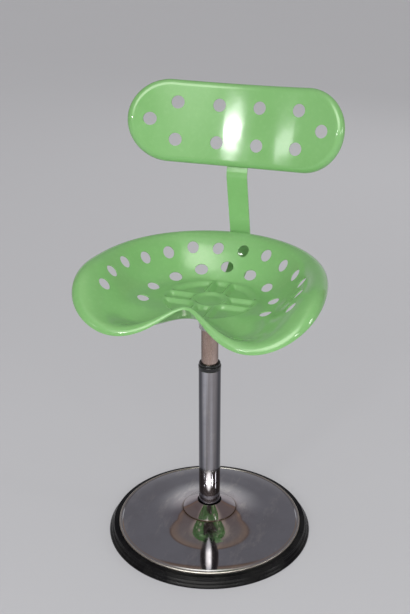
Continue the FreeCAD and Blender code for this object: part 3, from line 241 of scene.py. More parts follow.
BROWN_FILM_AND_REFLECTION = (0.40, 0.27, 0.29)
CLEAR_FILM = (0.42, 0.41, 0.46)
CHROME_DUST = (0.42, 0.40, 0.38)
SEAM_SHADE_AND_RUST = (0.07, 0.05, 0.035)
HALO_RUST = (0.24, 0.15, 0.09)
RIM_HIGHLIGHT = (0.66, 0.63, 0.57)
PALE_WISP = (0.90, 0.86, 0.80)
DARK_REFLECTION_BAND = (0.20, 0.17, 0.16)
BRIGHT_REFLECTION_BAND = (0.97, 0.97, 1.0)
PAINTED_DARK_SIDES = (0.09, 0.09, 0.105)

# Where the foot cone's edge lies on the cover, what is below that edge, and where the
# cover's face ends at its rim, in metres from the axis or the floor.
CONE_EDGE = 0.0528
CONE_HALO = 0.053
UNDER_CONE_EDGE = (0.0462, 0.0475)
RIM_START = (0.1764, 0.1774)


def times(colour, factor):
    return tuple(factor * part for part in colour)


def enamel(name, light, dark, gloss):
    """Sprayed gloss enamel: orange peel, clouds of tone, dust nibs, worn edges, and painted shade
    with some grime in its hollows.
    """
    f = Finish(name)
    cloud = f.noise(9.0, 4.0)
    tone = f.mix(cloud.between(0.3, 0.7), dark, light)
    tone = f.mix(f.noise(120.0, 3.0).between(0.45, 0.8) * 0.10, tone, PALE_GREEN)
    nibs = f.dots(420.0, 0.02, 0.09) * f.noise(37.0, 2.0).between(0.58, 0.66)
    tone = f.mix(nibs * 0.35, tone, NIB_GREEN)
    worn = f.edges(0.9 * MM) * f.noise(210.0, 4.0, 0.7).between(0.46, 0.62)
    tone = f.mix(worn * 0.5, tone, WORN_GREEN)
    # Painted shade: hollows are darkened by ambient occlusion, standing in for the shade that falls
    # in them, with some grime.
    patchy = 0.45 + 0.55 * f.noise(170.0, 5.0, 0.7).between(0.35, 0.65)
    tone = f.mix(f.hollows(9.0 * MM) * patchy * 0.6, tone, SHADE_AND_GRIME_GREEN)
    scuff = f.noise(60.0, 5.0, 0.7, stretch=(1.0, 5.0, 1.0)).between(0.55, 0.75)
    f.set(
        Base_Color=tone,
        Roughness=gloss + 0.07 * scuff + 0.05 * cloud + 0.2 * worn,
        Specular_IOR_Level=0.5,
        IOR=1.5,
        Coat_Weight=0.35 - 0.2 * worn,
        Coat_Roughness=0.05,
        Coat_IOR=1.5,
    )
    normal = f.bump(f.noise(310.0, 2.0, 0.4), 0.030 * MM, f.rounded_normal(0.7 * MM, samples=6))
    normal = f.bump(f.noise(55.0, 2.0, 0.5), 0.12 * MM, normal)
    f.set(Normal=f.bump(nibs, 0.05 * MM, normal))
    return f.material


def chrome(name, light, dark, film_and_reflection_tone=BROWN_FILM_AND_REFLECTION, painted_reflections=0.0):
    """Polished chrome plate: haze, wiping marks, scratches, dust, and round the foot a brown film
    that is partly a painted reflection of the seat's underside, painted shade and rust along the
    cone's edge, and a pale rim painted as a highlight.

    The last argument is the strength of the painted reflections on a tube: upright dark and bright
    bands, and sides painted darker.
    """
    f = Finish(name)
    x, y, z = f.axes()
    reach = (x * x + y * y).root()
    haze = f.noise(14.0, 5.0, 0.6).between(0.35, 0.75)
    smear = f.noise(30.0, 5.0, 0.7, stretch=(1.0, 1.0, 4.0)).between(0.5, 0.8)
    along = f.noise(160.0, 6.0, 0.8, stretch=(1.0, 0.06, 1.0)).between(0.60, 0.72)
    across = f.noise(150.0, 6.0, 0.8, stretch=(0.07, 1.0, 0.6)).between(0.62, 0.74)
    scratches = along.most(across)
    dust = f.dots(900.0, 0.03, 0.12) * f.noise(24.0, 3.0).between(0.5, 0.68)
    tone = f.mix(haze * 0.6, light, dark)
    tone = f.mix(dust * 0.35, tone, CHROME_DUST)

    # Painted reflection: the brown film round the foot is partly a real film and partly stands in
    # for the seat's underside mirrored in the cover.
    wavy_reach = reach + 0.03 * f.noise(45.0, 4.0, 0.7)
    film = (1.0 - wavy_reach.between(0.050, 0.125)) * (0.55 + 0.45 * smear)
    tone = f.mix(film * 0.72, tone, film_and_reflection_tone)
    low = 1.0 - z.between(*UNDER_CONE_EDGE)
    # Painted shade: a dark line where the cone's edge sits on the cover stands for the shade in
    # that gap, with some rust.
    seam_shade = 1.0 - (reach - CONE_EDGE).size().between(0.0004, 0.0016)
    tone = f.mix(seam_shade * low * 0.9, tone, SEAM_SHADE_AND_RUST)
    halo = 1.0 - (reach - CONE_HALO).size().between(0.001, 0.006)
    tone = f.mix(halo * low * 0.35, tone, HALO_RUST)
    # Painted highlight: the cover's rolled rim is painted pale to stand for the bright line the
    # lights make on it.
    rim = reach.between(*RIM_START)
    tone = f.mix(rim * 0.8, tone, RIM_HIGHLIGHT)
    wisp = f.noise(13.0, 6.0, 0.72, stretch=(2.2, 0.8, 1.0)).between(0.52, 0.70)
    tone = f.mix(wisp * 0.45, tone, PALE_WISP)

    # Painted reflections: upright dark and bright bands and darker sides stand in for what the tube
    # mirrors.
    dark_reflection_band = f.noise(75.0, 2.0, 0.5, stretch=(1.0, 1.0, 0.02)).between(0.40, 0.64)
    bright_reflection_band = f.noise(110.0, 1.0, 0.4, stretch=(1.0, 1.0, 0.01)).between(0.60, 0.68)
    tone = f.mix(dark_reflection_band * painted_reflections * 0.65, tone, DARK_REFLECTION_BAND)
    tone = f.mix(bright_reflection_band * painted_reflections * 0.8, tone, BRIGHT_REFLECTION_BAND)
    tone = f.mix(f.facing().between(0.13, 0.46) * painted_reflections, tone, PAINTED_DARK_SIDES)
    roughness = (
        0.035 + 0.05 * haze + 0.06 * smear + 0.09 * scratches
        + 0.35 * dust + 0.2 * seam_shade * low + 0.3 * rim + 0.07 * film
    )
    f.set(Base_Color=tone, Metallic=1.0 - 0.35 * dust, Roughness=roughness)
    waves = f.bump(f.noise(20.0, 2.0), 0.010 * MM)
    f.set(Normal=f.bump(scratches, 0.012 * MM, waves))
    return f.material


def worn_chrome(name):
    """Old chrome gone brown and dull: a film of dried grease, stroke marks, rings and pits, with
    its sides painted darker as shade.
    """
    f = Finish(name)
    film = f.noise(34.0, 5.0, 0.65, stretch=(1.0, 1.0, 0.35)).between(0.3, 0.7)
    stroke = f.noise(420.0, 4.0, 0.8, stretch=(1.0, 1.0, 0.03)).between(0.52, 0.7)
    ring = f.noise(260.0, 3.0, 0.6, stretch=(0.05, 0.05, 1.0)).between(0.55, 0.72)
    pits = f.dots(1300.0, 0.03, 0.10) * f.noise(70.0, 3.0).between(0.5, 0.62)
    tone = f.mix(film, (0.62, 0.49, 0.44), (0.36, 0.255, 0.215))
    tone = f.mix(ring * 0.45, tone, (0.24, 0.16, 0.13))
    # Painted shade: the tube is darker where it is seen edge on.
    tone = f.mix(f.facing().between(0.2, 0.8) * 0.7, tone, (0.07, 0.045, 0.04))
    tone = f.mix(pits * 0.7, tone, (0.14, 0.10, 0.08))
    f.set(
        Base_Color=tone,
        Metallic=1.0 - 0.3 * film - 0.4 * pits,
        Roughness=0.14 + 0.18 * film + 0.12 * stroke + 0.2 * pits,
    )
    f.set(Normal=f.bump(stroke, 0.015 * MM, f.bump(pits, -0.03 * MM)))
    return f.material


def rubber(name):
    """Moulded black rubber, handled smooth, with dust in its grain and grey scuffs."""
    f = Finish(name)
    patch = f.noise(18.0, 4.0, 0.6).between(0.4, 0.7)
    scuff = f.noise(110.0, 6.0, 0.75, stretch=(1.0, 0.35, 1.0)).between(0.60, 0.78)
    speck = f.dots(1100.0, 0.04, 0.12) * f.noise(31.0, 3.0).between(0.48, 0.62)
    tone = f.mix(patch, (0.005, 0.005, 0.006), (0.012, 0.012, 0.012))
    tone = f.mix(scuff * 0.28, tone, (0.050, 0.048, 0.047))
    tone = f.mix(speck * 0.4, tone, (0.14, 0.13, 0.12))
    f.set(
        Base_Color=tone,
        Roughness=0.22 + 0.12 * patch + 0.2 * scuff + 0.3 * speck,
        Specular_IOR_Level=0.12,
    )
    waves = f.bump(f.noise(70.0, 3.0), 0.12 * MM)
    f.set(Normal=f.bump(f.noise(900.0, 3.0, 0.6), 0.03 * MM, waves))
    return f.material


def gloss_plastic(name):
    """Glossy black moulded plastic with turning marks and a little dust."""
    f = Finish(name)
    ring = f.noise(900.0, 2.0, 0.5, stretch=(0.03, 0.03, 1.0))
    scuff = f.noise(260.0, 5.0, 0.75, stretch=(1.0, 1.0, 0.25)).between(0.58, 0.76)
    dust = f.dots(1500.0, 0.05, 0.13) * f.noise(60.0, 2.0).between(0.48, 0.6)
    tone = f.mix(scuff * 0.4, (0.010, 0.010, 0.011), (0.05, 0.05, 0.05))
    tone = f.mix(dust * 0.5, tone, (0.22, 0.21, 0.20))
    f.set(
        Base_Color=tone,
        Roughness=0.10 + 0.14 * scuff + 0.3 * dust,
        IOR=1.49,
        Coat_Weight=0.2 - 0.1 * scuff,
    )
    f.set(Normal=f.bump(ring, 0.010 * MM))
    return f.material


def primer(name):
    """Thin grey-brown primer over rolled plate, rubbed and a little rusty."""
    f = Finish(name)
    cloud = f.noise(40.0, 5.0, 0.6).between(0.3, 0.7)
    rust = f.noise(85.0, 6.0, 0.7).between(0.60, 0.72)
    rub = f.edges(0.8 * MM) * f.noise(190.0, 4.0).between(0.35, 0.6)
    tone = f.mix(cloud, (0.105, 0.078, 0.068), (0.070, 0.055, 0.050))
    tone = f.mix(rust * 0.6, tone, (0.15, 0.062, 0.030))
    tone = f.mix(rub * 0.5, tone, (0.38, 0.34, 0.31))
    f.set(Base_Color=tone, Metallic=0.8 * rub, Roughness=0.55 + 0.15 * cloud - 0.2 * rub)
    f.set(Normal=f.bump(f.noise(600.0, 4.0, 0.7), 0.05 * MM))
    return f.material


def plated(name, light, dark, smoothest):
    """Zinc plate or turned metal: cloudy, with fine tool lines about the upright axis."""
    f = Finish(name)
    cloud = f.noise(150.0, 4.0, 0.6).between(0.3, 0.7)
    lines = f.noise(1400.0, 2.0, 0.6, stretch=(0.08, 0.08, 1.0))
    spot = f.noise(420.0, 5.0, 0.7).between(0.66, 0.80)
    tone = f.mix(cloud, light, dark)
    tone = f.mix(spot * 0.3, tone, times(dark, 0.45))
    f.set(
        Base_Color=tone,
        Metallic=1.0 - 0.3 * spot,
        Roughness=smoothest + 0.12 * cloud + 0.15 * spot,
    )
    f.set(Normal=f.bump(lines, 0.012 * MM, f.bump(cloud, 0.02 * MM)))
    return f.material


def casting(name):
    """Black painted casting with the grain of its sand mould."""
    f = Finish(name)
    patch = f.noise(30.0, 4.0).between(0.35, 0.7)
    tone = f.mix(patch, (0.025, 0.025, 0.026), (0.06, 0.055, 0.05))
    f.set(Base_Color=tone, Roughness=0.5 + 0.2 * patch)
    f.set(Normal=f.bump(f.noise(700.0, 5.0, 0.7), 0.25 * MM))
    return f.material


def nylon(name):
    """Natural nylon, slightly greasy."""
    f = Finish(name)
    cloud = f.noise(90.0, 4.0).between(0.3, 0.7)
    tone = f.mix(cloud, (0.72, 0.70, 0.62), (0.60, 0.56, 0.47))
    f.set(Base_Color=tone, Roughness=0.35 + 0.15 * cloud)
    f.set(Normal=f.bump(f.noise(800.0, 3.0), 0.02 * MM))
    return f.material


FINISHES = {
    "seat_green": enamel("green_enamel", (0.240, 0.515, 0.185), (0.220, 0.485, 0.165), 0.10),
    # The bar's green is the seat's paint, painted lighter to stand in for the light it gets.
    "bar_green": enamel("green_enamel_bar_painted_lighter", (0.265, 0.555, 0.205), (0.245, 0.525, 0.185), 0.14),
    "chrome": chrome("chrome_plate", (0.60, 0.60, 0.62), (0.50, 0.49, 0.50)),
    "worn_chrome": worn_chrome("old_chrome"),
    "rubber": rubber("black_rubber"),
    "collar": gloss_plastic("gloss_black_plastic"),
    "plate": primer("brown_primer"),
    "zinc": plated("zinc_plate", (0.66, 0.65, 0.62), (0.50, 0.49, 0.47), 0.28),
    "steel": plated("turned_steel", (0.58, 0.57, 0.56), (0.45, 0.44, 0.43), 0.22),
    "bronze": plated("bearing_bronze", (0.62, 0.42, 0.20), (0.46, 0.30, 0.14), 0.30),
    "nylon": nylon("natural_nylon"),
    "cast": casting("black_casting"),
}
# The column tube's chrome carries painted reflections: upright bands and darker sides.
TUBE_CHROME = chrome("tube_chrome", (0.66, 0.66, 0.70), (0.54, 0.54, 0.57), CLEAR_FILM, 0.95)

for subpart in frame["record"]["subparts"]:
    carried = NODES[subpart["node"]]
    carried.data.materials.clear()
    carried.data.materials.append(FINISHES[subpart["material_slot"]])


# ---------------------------------------------------------------------------
# Pieces: measures are in millimetres, profiles are (distance from the axis, height)
# ---------------------------------------------------------------------------

CREASE = math.radians(24.0)          # turned pieces stay sharp where they bend more
COPY_CREASE = math.radians(30.0)     # the same for copies of the nodes
BEVEL_ANGLE = math.radians(35.0)     # edges that are sharper than this get rounded
FLAT_ANGLE = math.radians(0.4)       # faces that meet flatter than this become one
SAME_POINT = 0.01 * MM
SAME_POINT_IN_COPY = 0.002 * MM
NEAR_AXIS = 0.004                    # radius of the pinhole along a solid turned shape

UPRIGHT = (0, 0, 1)
BOLT_RADIUS = 4.0
BOLT_PITCH = 1.25
THREAD_STEPS = 28                    # flats in one turn of a thread
NUT_CORNER = 7.5
NUT_HEIGHT = 6.5
NUT_BORE = 3.7
SEAT_STUD_REACH = 47                 # seat studs stand this far to each side and end
BAR_BOLT_ROWS = (37, 57)
HEAD_RADIUS = 8.0
HEAD_HEIGHT = 4.2
BACK_WAY = Vector((0, 0.9617, -0.2741))
BACK_NUTS = ((0, 189.12, 744.09), (0, 203.37, 794.10))
BACK_STUDS = ((0, 179.22, 746.91), (0, 193.465, 796.92))
BACK_STUD_LENGTH = 33.08


def declare(made, body, slot, nodes, finish=None):
    """Gives a piece its material, ties it to its body and hides the nodes it stands for."""
    made.data.materials.clear()
    made.data.materials.append(finish or FINISHES[slot])
    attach(made, body)
    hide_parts(*nodes)


def heights(node):
    """The lowest and highest point of a node."""
    low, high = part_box(node)
    return low.z / MM, high.z / MM


def edit(mode, select="SELECT"):
    """Opens the active mesh for editing points or edges, with all or none of them chosen."""
    bpy.ops.object.mode_set(mode="EDIT")
    bpy.ops.mesh.select_mode(type=mode)
    bpy.ops.mesh.select_all(action=select)


def grow(far, high):
    """Moves the chosen points out by a factor about the upright axis, and up by a height."""
    bpy.ops.transform.resize(value=(far, far, 1.0), center_override=(0, 0, 0))
    bpy.ops.transform.translate(value=(0, 0, high * MM))


def circle(name, vertices, radius, height):
    bpy.ops.object.select_all(action="DESELECT")
    bpy.ops.mesh.primitive_circle_add(
        vertices=vertices, radius=radius * MM, fill_type="NOTHING", location=(0, 0, height * MM)
    )
    made = bpy.context.active_object
    made.name = name
    bpy.ops.object.transform_apply(location=True, rotation=False, scale=False)
    return made


def lathe(name, profile, vertices):
    """A closed ring turned about the upright axis from a profile listed counter-clockwise."""
    radius, height = profile[0]
    made = circle(name, vertices, radius, height)
    edit("EDGE")
    for far, high in profile[1:] + profile[:1]:
        bpy.ops.mesh.extrude_region_move()
        grow(far / radius, high - height)
        radius, height = far, high
    bpy.ops.mesh.select_all(action="SELECT")
    bpy.ops.mesh.remove_doubles(threshold=SAME_POINT)
    bpy.ops.mesh.normals_make_consistent(inside=False)
    bpy.ops.object.mode_set(mode="OBJECT")
    bpy.ops.object.shade_smooth_by_angle(angle=CREASE)
    return made


def arc(centre, radius, start, end, steps):
    """Points of an arc about centre, from start to end in degrees."""
    points = []
    for step in range(steps + 1):
        turn = math.radians(start + (end - start) * step / steps)
        points.append((centre[0] + radius * math.cos(turn), centre[1] + radius * math.sin(turn)))
    return points


def softened(profile, reach, steps=3):
    """The profile with each corner cut back by up to reach and rounded."""
    points = []
    count = len(profile)
    for place, corner in enumerate(profile):
        here = Vector(corner)
        back = Vector(profile[place - 1]) - here
        ahead = Vector(profile[(place + 1) % count]) - here
        if math.degrees(back.angle(-ahead)) < 12.0:
            points.append(corner)
            continue
        cut = min(reach, back.length * 0.45, ahead.length * 0.45)
        first = here + back.normalized() * cut
        last = here + ahead.normalized() * cut
        for step in range(steps + 1):
            share = step / steps
            bent = first * (1 - share) ** 2 + here * (2 * share * (1 - share)) + last * share ** 2
            points.append((bent.x, bent.y))
    return points


def cut_with(made, tool, operation):
    """Joins or crosses a shape with a second one, which is then thrown away."""
    cut = made.modifiers.new("cut", "BOOLEAN")
    cut.operation = operation
    cut.object = tool
    cut.solver = "EXACT"
    bpy.context.view_layer.objects.active = made
    bpy.ops.object.modifier_apply(modifier=cut.name)
    bpy.data.objects.remove(tool)


def hex_nut(corner, thickness, bore):
    """A hexagon nut from height 0, its corners cut back by a cone at both ends."""
    flat = corner * 0.866 * 0.95
    shoulder = (corner - flat) * math.tan(math.radians(30.0))
    wide = corner + 0.05
    lead = 0.6
    made = lathe("nut", [
        (bore + lead, 0), (flat, 0), (wide, shoulder), (wide, thickness - shoulder),
        (flat, thickness), (bore + lead, thickness), (bore, thickness - lead), (bore, lead),
    ], 48)
    bpy.ops.mesh.primitive_cylinder_add(
        vertices=6, radius=corner * MM, depth=(thickness + 2) * MM,
        location=(0, 0, thickness / 2 * MM), rotation=(0, 0, math.radians(30.0)),
    )
    cut_with(made, bpy.context.active_object, "INTERSECT")
    return made


def thread(radius, pitch, length):
    """A screw thread from height 0, with its ends cut flat and chamfered."""
    root = radius - pitch * 0.55
    made = circle("thread", 3, root, -1.5 * pitch)
    edit("VERT", "DESELECT")
    bpy.ops.object.mode_set(mode="OBJECT")
    for vertex in made.data.vertices:
        vertex.select = vertex.co.y < 0
    bpy.ops.object.mode_set(mode="EDIT")
    bpy.ops.mesh.delete(type="VERT")
    bpy.ops.mesh.select_all(action="SELECT")
    # The one point left is drawn out to the flank, the crest and the other flank.
    for out, up in ((radius / root, 0.44), (1.0, 0.12), (root / radius, 0.44)):
        bpy.ops.mesh.extrude_vertices_move()
        grow(out, up * pitch)
    bpy.ops.object.mode_set(mode="OBJECT")
    wound = made.modifiers.new("wound", "SCREW")
    wound.axis = "Z"
    wound.angle = math.radians(360.0)
    wound.screw_offset = pitch * MM
    wound.steps = THREAD_STEPS
    wound.render_steps = THREAD_STEPS
    wound.iterations = math.ceil(length / pitch) + 3
    wound.use_merge_vertices = True
    wound.merge_threshold = SAME_POINT
    bpy.ops.object.modifier_apply(modifier=wound.name)
    edit("VERT")
    bpy.ops.mesh.remove_doubles(threshold=SAME_POINT)
    bpy.ops.mesh.fill_holes(sides=0)
    bpy.ops.mesh.select_all(action="SELECT")
    bpy.ops.mesh.quads_convert_to_tris()
    bpy.ops.mesh.normals_make_consistent(inside=False)
    bpy.ops.object.mode_set(mode="OBJECT")
    wide = radius + 0.1
    lead = wide - root
    ends = lathe("ends", [
        (NEAR_AXIS, 0), (root, 0), (wide, lead), (wide, length - lead),
        (root, length), (NEAR_AXIS, length),
    ], 48)
    cut_with(made, ends, "INTERSECT")
    return made


def fastener_set(name, shape, places, axis, node, body="seat"):
    """Copies of one shape that stand along axis at places, joined as one zinc-plated piece."""
    turn = Vector(UPRIGHT).rotation_difference(Vector(axis)).to_euler()
    made = []
    for place in places:
        one = shape.copy()
        one.data = shape.data.copy()
        bpy.context.scene.collection.objects.link(one)
        one.location = Vector(place) * MM
        one.rotation_euler = turn
        made.append(one)
    bpy.data.objects.remove(shape)
    bpy.ops.object.select_all(action="DESELECT")
    for one in made:
        one.select_set(True)
    joined = made[0]
    bpy.context.view_layer.objects.active = joined
    if len(made) > 1:
        bpy.ops.object.join()
    joined.name = name
    bpy.ops.object.transform_apply(location=True, rotation=True, scale=True)
    bpy.ops.object.shade_smooth_by_angle(angle=CREASE)
    declare(joined, body, "zinc", [node])


def rounded_copy(name, node, slot, width, segments=2):
    """A copy of one of the seat's nodes with its flat faces made whole and its edges rounded."""
    bpy.ops.object.select_all(action="DESELECT")
    made = NODES[node].copy()
    made.data = NODES[node].data.copy()
    made.name = name
    made.parent = None
    bpy.context.scene.collection.objects.link(made)
    made.matrix_world = NODES[node].matrix_world.copy()
    made.select_set(True)
    bpy.context.view_layer.objects.active = made
    bpy.ops.object.transform_apply(location=True, rotation=True, scale=True)
    bpy.ops.object.mode_set(mode="EDIT")
    bpy.ops.mesh.select_all(action="SELECT")
    bpy.ops.mesh.remove_doubles(threshold=SAME_POINT_IN_COPY)
    bpy.ops.mesh.customdata_custom_splitnormals_clear()
    bpy.ops.mesh.dissolve_limited(angle_limit=FLAT_ANGLE)
    bpy.ops.object.mode_set(mode="OBJECT")
    rounded = made.modifiers.new("rounded", "BEVEL")
    rounded.width = width * MM
    rounded.segments = segments
    rounded.limit_method = "ANGLE"
    rounded.angle_limit = BEVEL_ANGLE
    bpy.ops.object.modifier_apply(modifier=rounded.name)
    bpy.ops.object.shade_smooth_by_angle(angle=COPY_CREASE)
    weighted = made.modifiers.new("even shading", "WEIGHTED_NORMAL")
    weighted.keep_sharp = True
    bpy.ops.object.modifier_apply(modifier=weighted.name)
    declare(made, "seat", slot, [node])


def cover_profile():
    """Dished sheet: turned-down skirt, rolled rim, shallow groove, rise to the foot cone."""
    skirt, lowest = 180.4, 13.7
    sheet = 1.5
    profile = [(skirt, lowest), (skirt, 20.5)]
    profile += arc((178.4, 20.5), 2.0, 15, 150, 8)
    profile += [
        (175.9, 21.35), (174.9, 21.3), (173.9, 21.75), (172.6, 22.8), (171.4, 23.02),
        (150.0, 24.19),
    ]
    sweep = arc((134.233, 201.67), 176.41, -93.0, -119.0, 26)
    profile += sweep
    profile += [(far - 0.6, high - sheet) for far, high in reversed(sweep)]
    inner = skirt - sheet
    profile += [(171.6, 21.4), (173.2, 20.4), (175.2, 19.8), (inner, 19.0), (inner, lowest)]
    return profile


def ring_profile():
    """Rubber ring: flat foot, three moulded steps up its side, rounded shoulder, inner ledge."""
    inner, ledge, lip = 168.0, 13.7, 180.7
    return softened([
        (inner, 0.0), (197.9, 0.0), (199.3, 0.6), (200.0, 2.0),
        (199.8, 3.6), (197.2, 7.4), (196.6, 7.5), (196.3, 8.1),
        (196.2, 8.9), (193.6, 12.8), (193.0, 12.9), (192.7, 13.5),
        (192.6, 14.3), (191.1, 16.6), (191.0, 17.6), (190.2, 18.2), (189.2, 18.0),
        (188.6, 17.8), (184.4, 18.7), (182.2, 19.1), (181.2, 19.0), (lip, 18.3),
        (lip, ledge), (inner, ledge),
    ], 0.3, 2)


def cone_profile():
    """Foot cone: rolled outer edge on the cover, straight flank, short collar at the tube."""
    return [
        (52.0, 45.7), (52.3, 46.1), (52.1, 46.7), (51.2, 47.35), (38.0, 54.75),
        (24.9, 61.95), (23.8, 62.55), (23.6, 62.2), (23.6, 61.4), (38.0, 53.4),
    ]


def seal_profile():
    bottom, top = heights("foot_seal")
    inner, outer = 21.05, 23.55
    return softened([
        (inner, bottom), (outer, bottom), (outer, top - 0.2), (22.6, top - 0.3), (inner, top - 0.9),
    ], 0.4)


def tube_profile(node, inner, outer):
    bottom, top = heights(node)
    return softened([(inner, bottom), (outer, bottom), (outer, top), (inner, top)], 0.5)


def collar_profile():
    """Guide collar: sleeve inside the tube, wide ridge on the tube's end, neck, narrow ridge."""
    foot, crown = heights("guide_collar")
    seat = heights("outer_tube")[1]
    neck = crown - 5.0
    bore, sleeve, wide, narrow = 16.2, 19.0, 21.6, 20.2
    return softened([
        (bore, foot), (sleeve, foot), (sleeve, seat), (20.4, seat), (wide, seat + 1.4),
        (wide, neck - 1.9), (20.9, neck - 0.6), (19.5, neck), (narrow, neck + 0.9),
        (narrow, crown - 1.4), (19.0, crown), (16.9, crown), (bore, crown - 0.7),
    ], 0.6)


# name, profile, flats round it, body, slot, node, finish if not the slot's own
TURNED = (
    ("chrome_cover", cover_profile(), 256, "base", "chrome", "base_cover", None),
    ("rubber_ring", ring_profile(), 256, "base", "rubber", "floor_ring", None),
    ("foot_cone_skin", cone_profile(), 192, "base", "chrome", "foot_cone", None),
    ("foot_seal_ring", seal_profile(), 96, "base", "rubber", "foot_seal", None),
    (
        "column_tube", tube_profile("outer_tube", 19.0, 21.0), 128,
        "base", "chrome", "outer_tube", TUBE_CHROME,
    ),
    ("guide_sleeve", collar_profile(), 128, "base", "collar", "guide_collar", None),
    (
        "rising_tube_skin", tube_profile("rising_tube", 14.0, 16.0), 128,
        "riser", "worn_chrome", "rising_tube", None,
    ),
)

for name, profile, flats, body, slot, node, finish in TURNED:
    declare(lathe(name, profile, flats), body, slot, [node], finish)


def fasteners():
    def common_nut():
        return hex_nut(NUT_CORNER, NUT_HEIGHT, NUT_BORE)

    sides = (-SEAT_STUD_REACH, SEAT_STUD_REACH)
    corners = [(x, y) for x in sides for y in sides]
    foot = heights("seat_nuts")[0]
    places = [(x, y, foot) for x, y in corners]
    fastener_set("seat_nut_set", common_nut(), places, UPRIGHT, "seat_nuts")
    foot, top = heights("seat_studs")
    places = [(x, y, foot) for x, y in corners]
    stud = thread(BOLT_RADIUS, BOLT_PITCH, top - foot)
    fastener_set("seat_stud_set", stud, places, UPRIGHT, "seat_studs")

    foot = heights("bar_nuts")[0]
    places = [(0, y, foot) for y in BAR_BOLT_ROWS]
    fastener_set("bar_nut_pair", common_nut(), places, UPRIGHT, "bar_nuts")
    foot, top = heights("bar_bolts")
    length = top - foot
    bolt = thread(BOLT_RADIUS, BOLT_PITCH, length - 3.0)
    head = lathe("head", [
        (NEAR_AXIS, length - HEAD_HEIGHT), (3.9, length - HEAD_HEIGHT), (7.7, length - 0.6),
        (HEAD_RADIUS, length - 0.4), (HEAD_RADIUS, length), (NEAR_AXIS, length),
    ], 48)
    cut_with(bolt, head, "UNION")
    places = [(0, y, foot) for y in BAR_BOLT_ROWS]
    fastener_set("bar_bolt_pair", bolt, places, UPRIGHT, "bar_bolts")

    places = [Vector(centre) - BACK_WAY * (NUT_HEIGHT / 2) for centre in BACK_NUTS]
    fastener_set("back_nut_pair", common_nut(), places, BACK_WAY, "back_nuts")
    places = [Vector(centre) - BACK_WAY * (BACK_STUD_LENGTH / 2) for centre in BACK_STUDS]
    stud = thread(BOLT_RADIUS, BOLT_PITCH, BACK_STUD_LENGTH)
    fastener_set("back_stud_pair", stud, places, BACK_WAY, "back_studs")

    foot = heights("foot_nut")[0]
    large_nut = hex_nut(13.8, 9.0, 7.5)
    fastener_set("foot_nut_hex", large_nut, [(0, 0, foot)], UPRIGHT, "foot_nut", "base")


fasteners()
rounded_copy("bar_strip", "back_bar", "bar_green", 1.2, 3)
rounded_copy("seat_base_plate", "seat_plate", "plate", 0.8)
rounded_copy("back_spacer_pair", "back_spacers", "zinc", 0.5)
rounded_copy("back_washer_pair", "back_washers", "zinc", 0.35)
rounded_copy("bar_washer_pair", "bar_washers", "zinc", 0.35)
rounded_copy("seat_washer_set", "seat_washers", "zinc", 0.35)
rounded_copy("hub_casting", "swivel_hub", "steel", 0.7)


# ---------------------------------------------------------------------------
# Floor, light and camera, in metres
# ---------------------------------------------------------------------------

BACKGROUND = (0.500, 0.497, 0.515)
FLOOR_RADIUS = 14.0
FLOOR_GLOW = 1.2             # tone of the floor's fixed part, against the background's
FLOOR_FIXED_SHARE = 0.50

# What mirrors show: a sheet of grey paper, whose width and top are set against its distance,
# and a brownish room beyond it with a bright patch overhead and one in front.
PAPER_WAY = (-0.31, 0.951)
PAPER_HALF_WIDTH = 0.78
PAPER_TOP = 1.16
PAPER_HIGH_UP = (0.168, 0.163, 0.182)
PAPER_EDGE = (0.11, 0.065, 0.045)
ROOM_LOW = (0.20, 0.165, 0.150)
ROOM_HIGH = (0.185, 0.160, 0.158)
ROOM_BESIDE_PAPER = (0.27, 0.185, 0.135)
ROOM_CEILING = (0.62, 0.54, 0.46)
OVERHEAD_WAY = (0.03, -0.375, 0.927)
OVERHEAD_PATCH = (1.00, 0.98, 0.93)
FRONT_WAY = (0.10, -0.72, 0.687)
FRONT_PATCH = (5.2, 5.1, 4.8)
EVEN_LIGHT = (0.27, 0.27, 0.28)

# name, bearing from -Y towards +X in degrees, distance, height, width, tall, watts,
# height aimed at on the axis, and whether mirrors show it
LAMPS = (
    ("key_box", -15.5, 2.5, 1.565, 0.26, 0.060, 6.9, 0.60, True),
    ("side_box", 49.0, 2.6, 1.525, 0.28, 0.14, 4.4, 0.60, True),
    ("left_box", -39.0, 2.8, 1.47, 0.40, 0.12, 1.5, 0.60, True),
    ("right_box", 88.0, 2.4, 1.15, 0.25, 0.5, 6.0, 0.60, True),
    ("front_sheet", 10.0, 2.8, 1.75, 3.0, 1.8, 62.0, 0.50, False),
    ("top_sheet", 0.0, 0.1, 3.4, 3.4, 3.0, 10.0, 0.40, False),
    ("back_sheet", 172.0, 3.2, 2.0, 3.0, 1.8, 22.0, 0.50, False),
)

CAMERA_PLACE = (0.5195, -1.6230, 1.2320)
CAMERA_WAY = Vector((-0.2835, 0.8699, -0.4037))
CAMERA_LENS = 59.73
CAMERA_SENSOR = 36.0


def floor():
    """A wide pale floor; half its tone is fixed for the eye, so it is even and takes shadows."""
    bpy.ops.object.select_all(action="DESELECT")
    bpy.ops.mesh.primitive_circle_add(
        vertices=96, radius=FLOOR_RADIUS, fill_type="NGON", location=(0, 0, 0)
    )
    made = bpy.context.active_object
    made.name = "floor"
    f = Finish("floor_paint")
    tone = f.mix(f.noise(1.5, 4.0), BACKGROUND, times(BACKGROUND, 1.05))
    f.set(Base_Color=tone, Roughness=0.8)
    glow = f.node("ShaderNodeEmission", {}, {"Color": times(BACKGROUND, FLOOR_GLOW)})
    share = f.seen_rays() * FLOOR_FIXED_SHARE
    paint = Wire(f, f.shader.outputs[0])
    both = f.node("ShaderNodeMixShader", {}, {0: share, 1: paint, 2: glow[0]})
    f.fill(f.surface, both[0])
    made.data.materials.append(f.material)


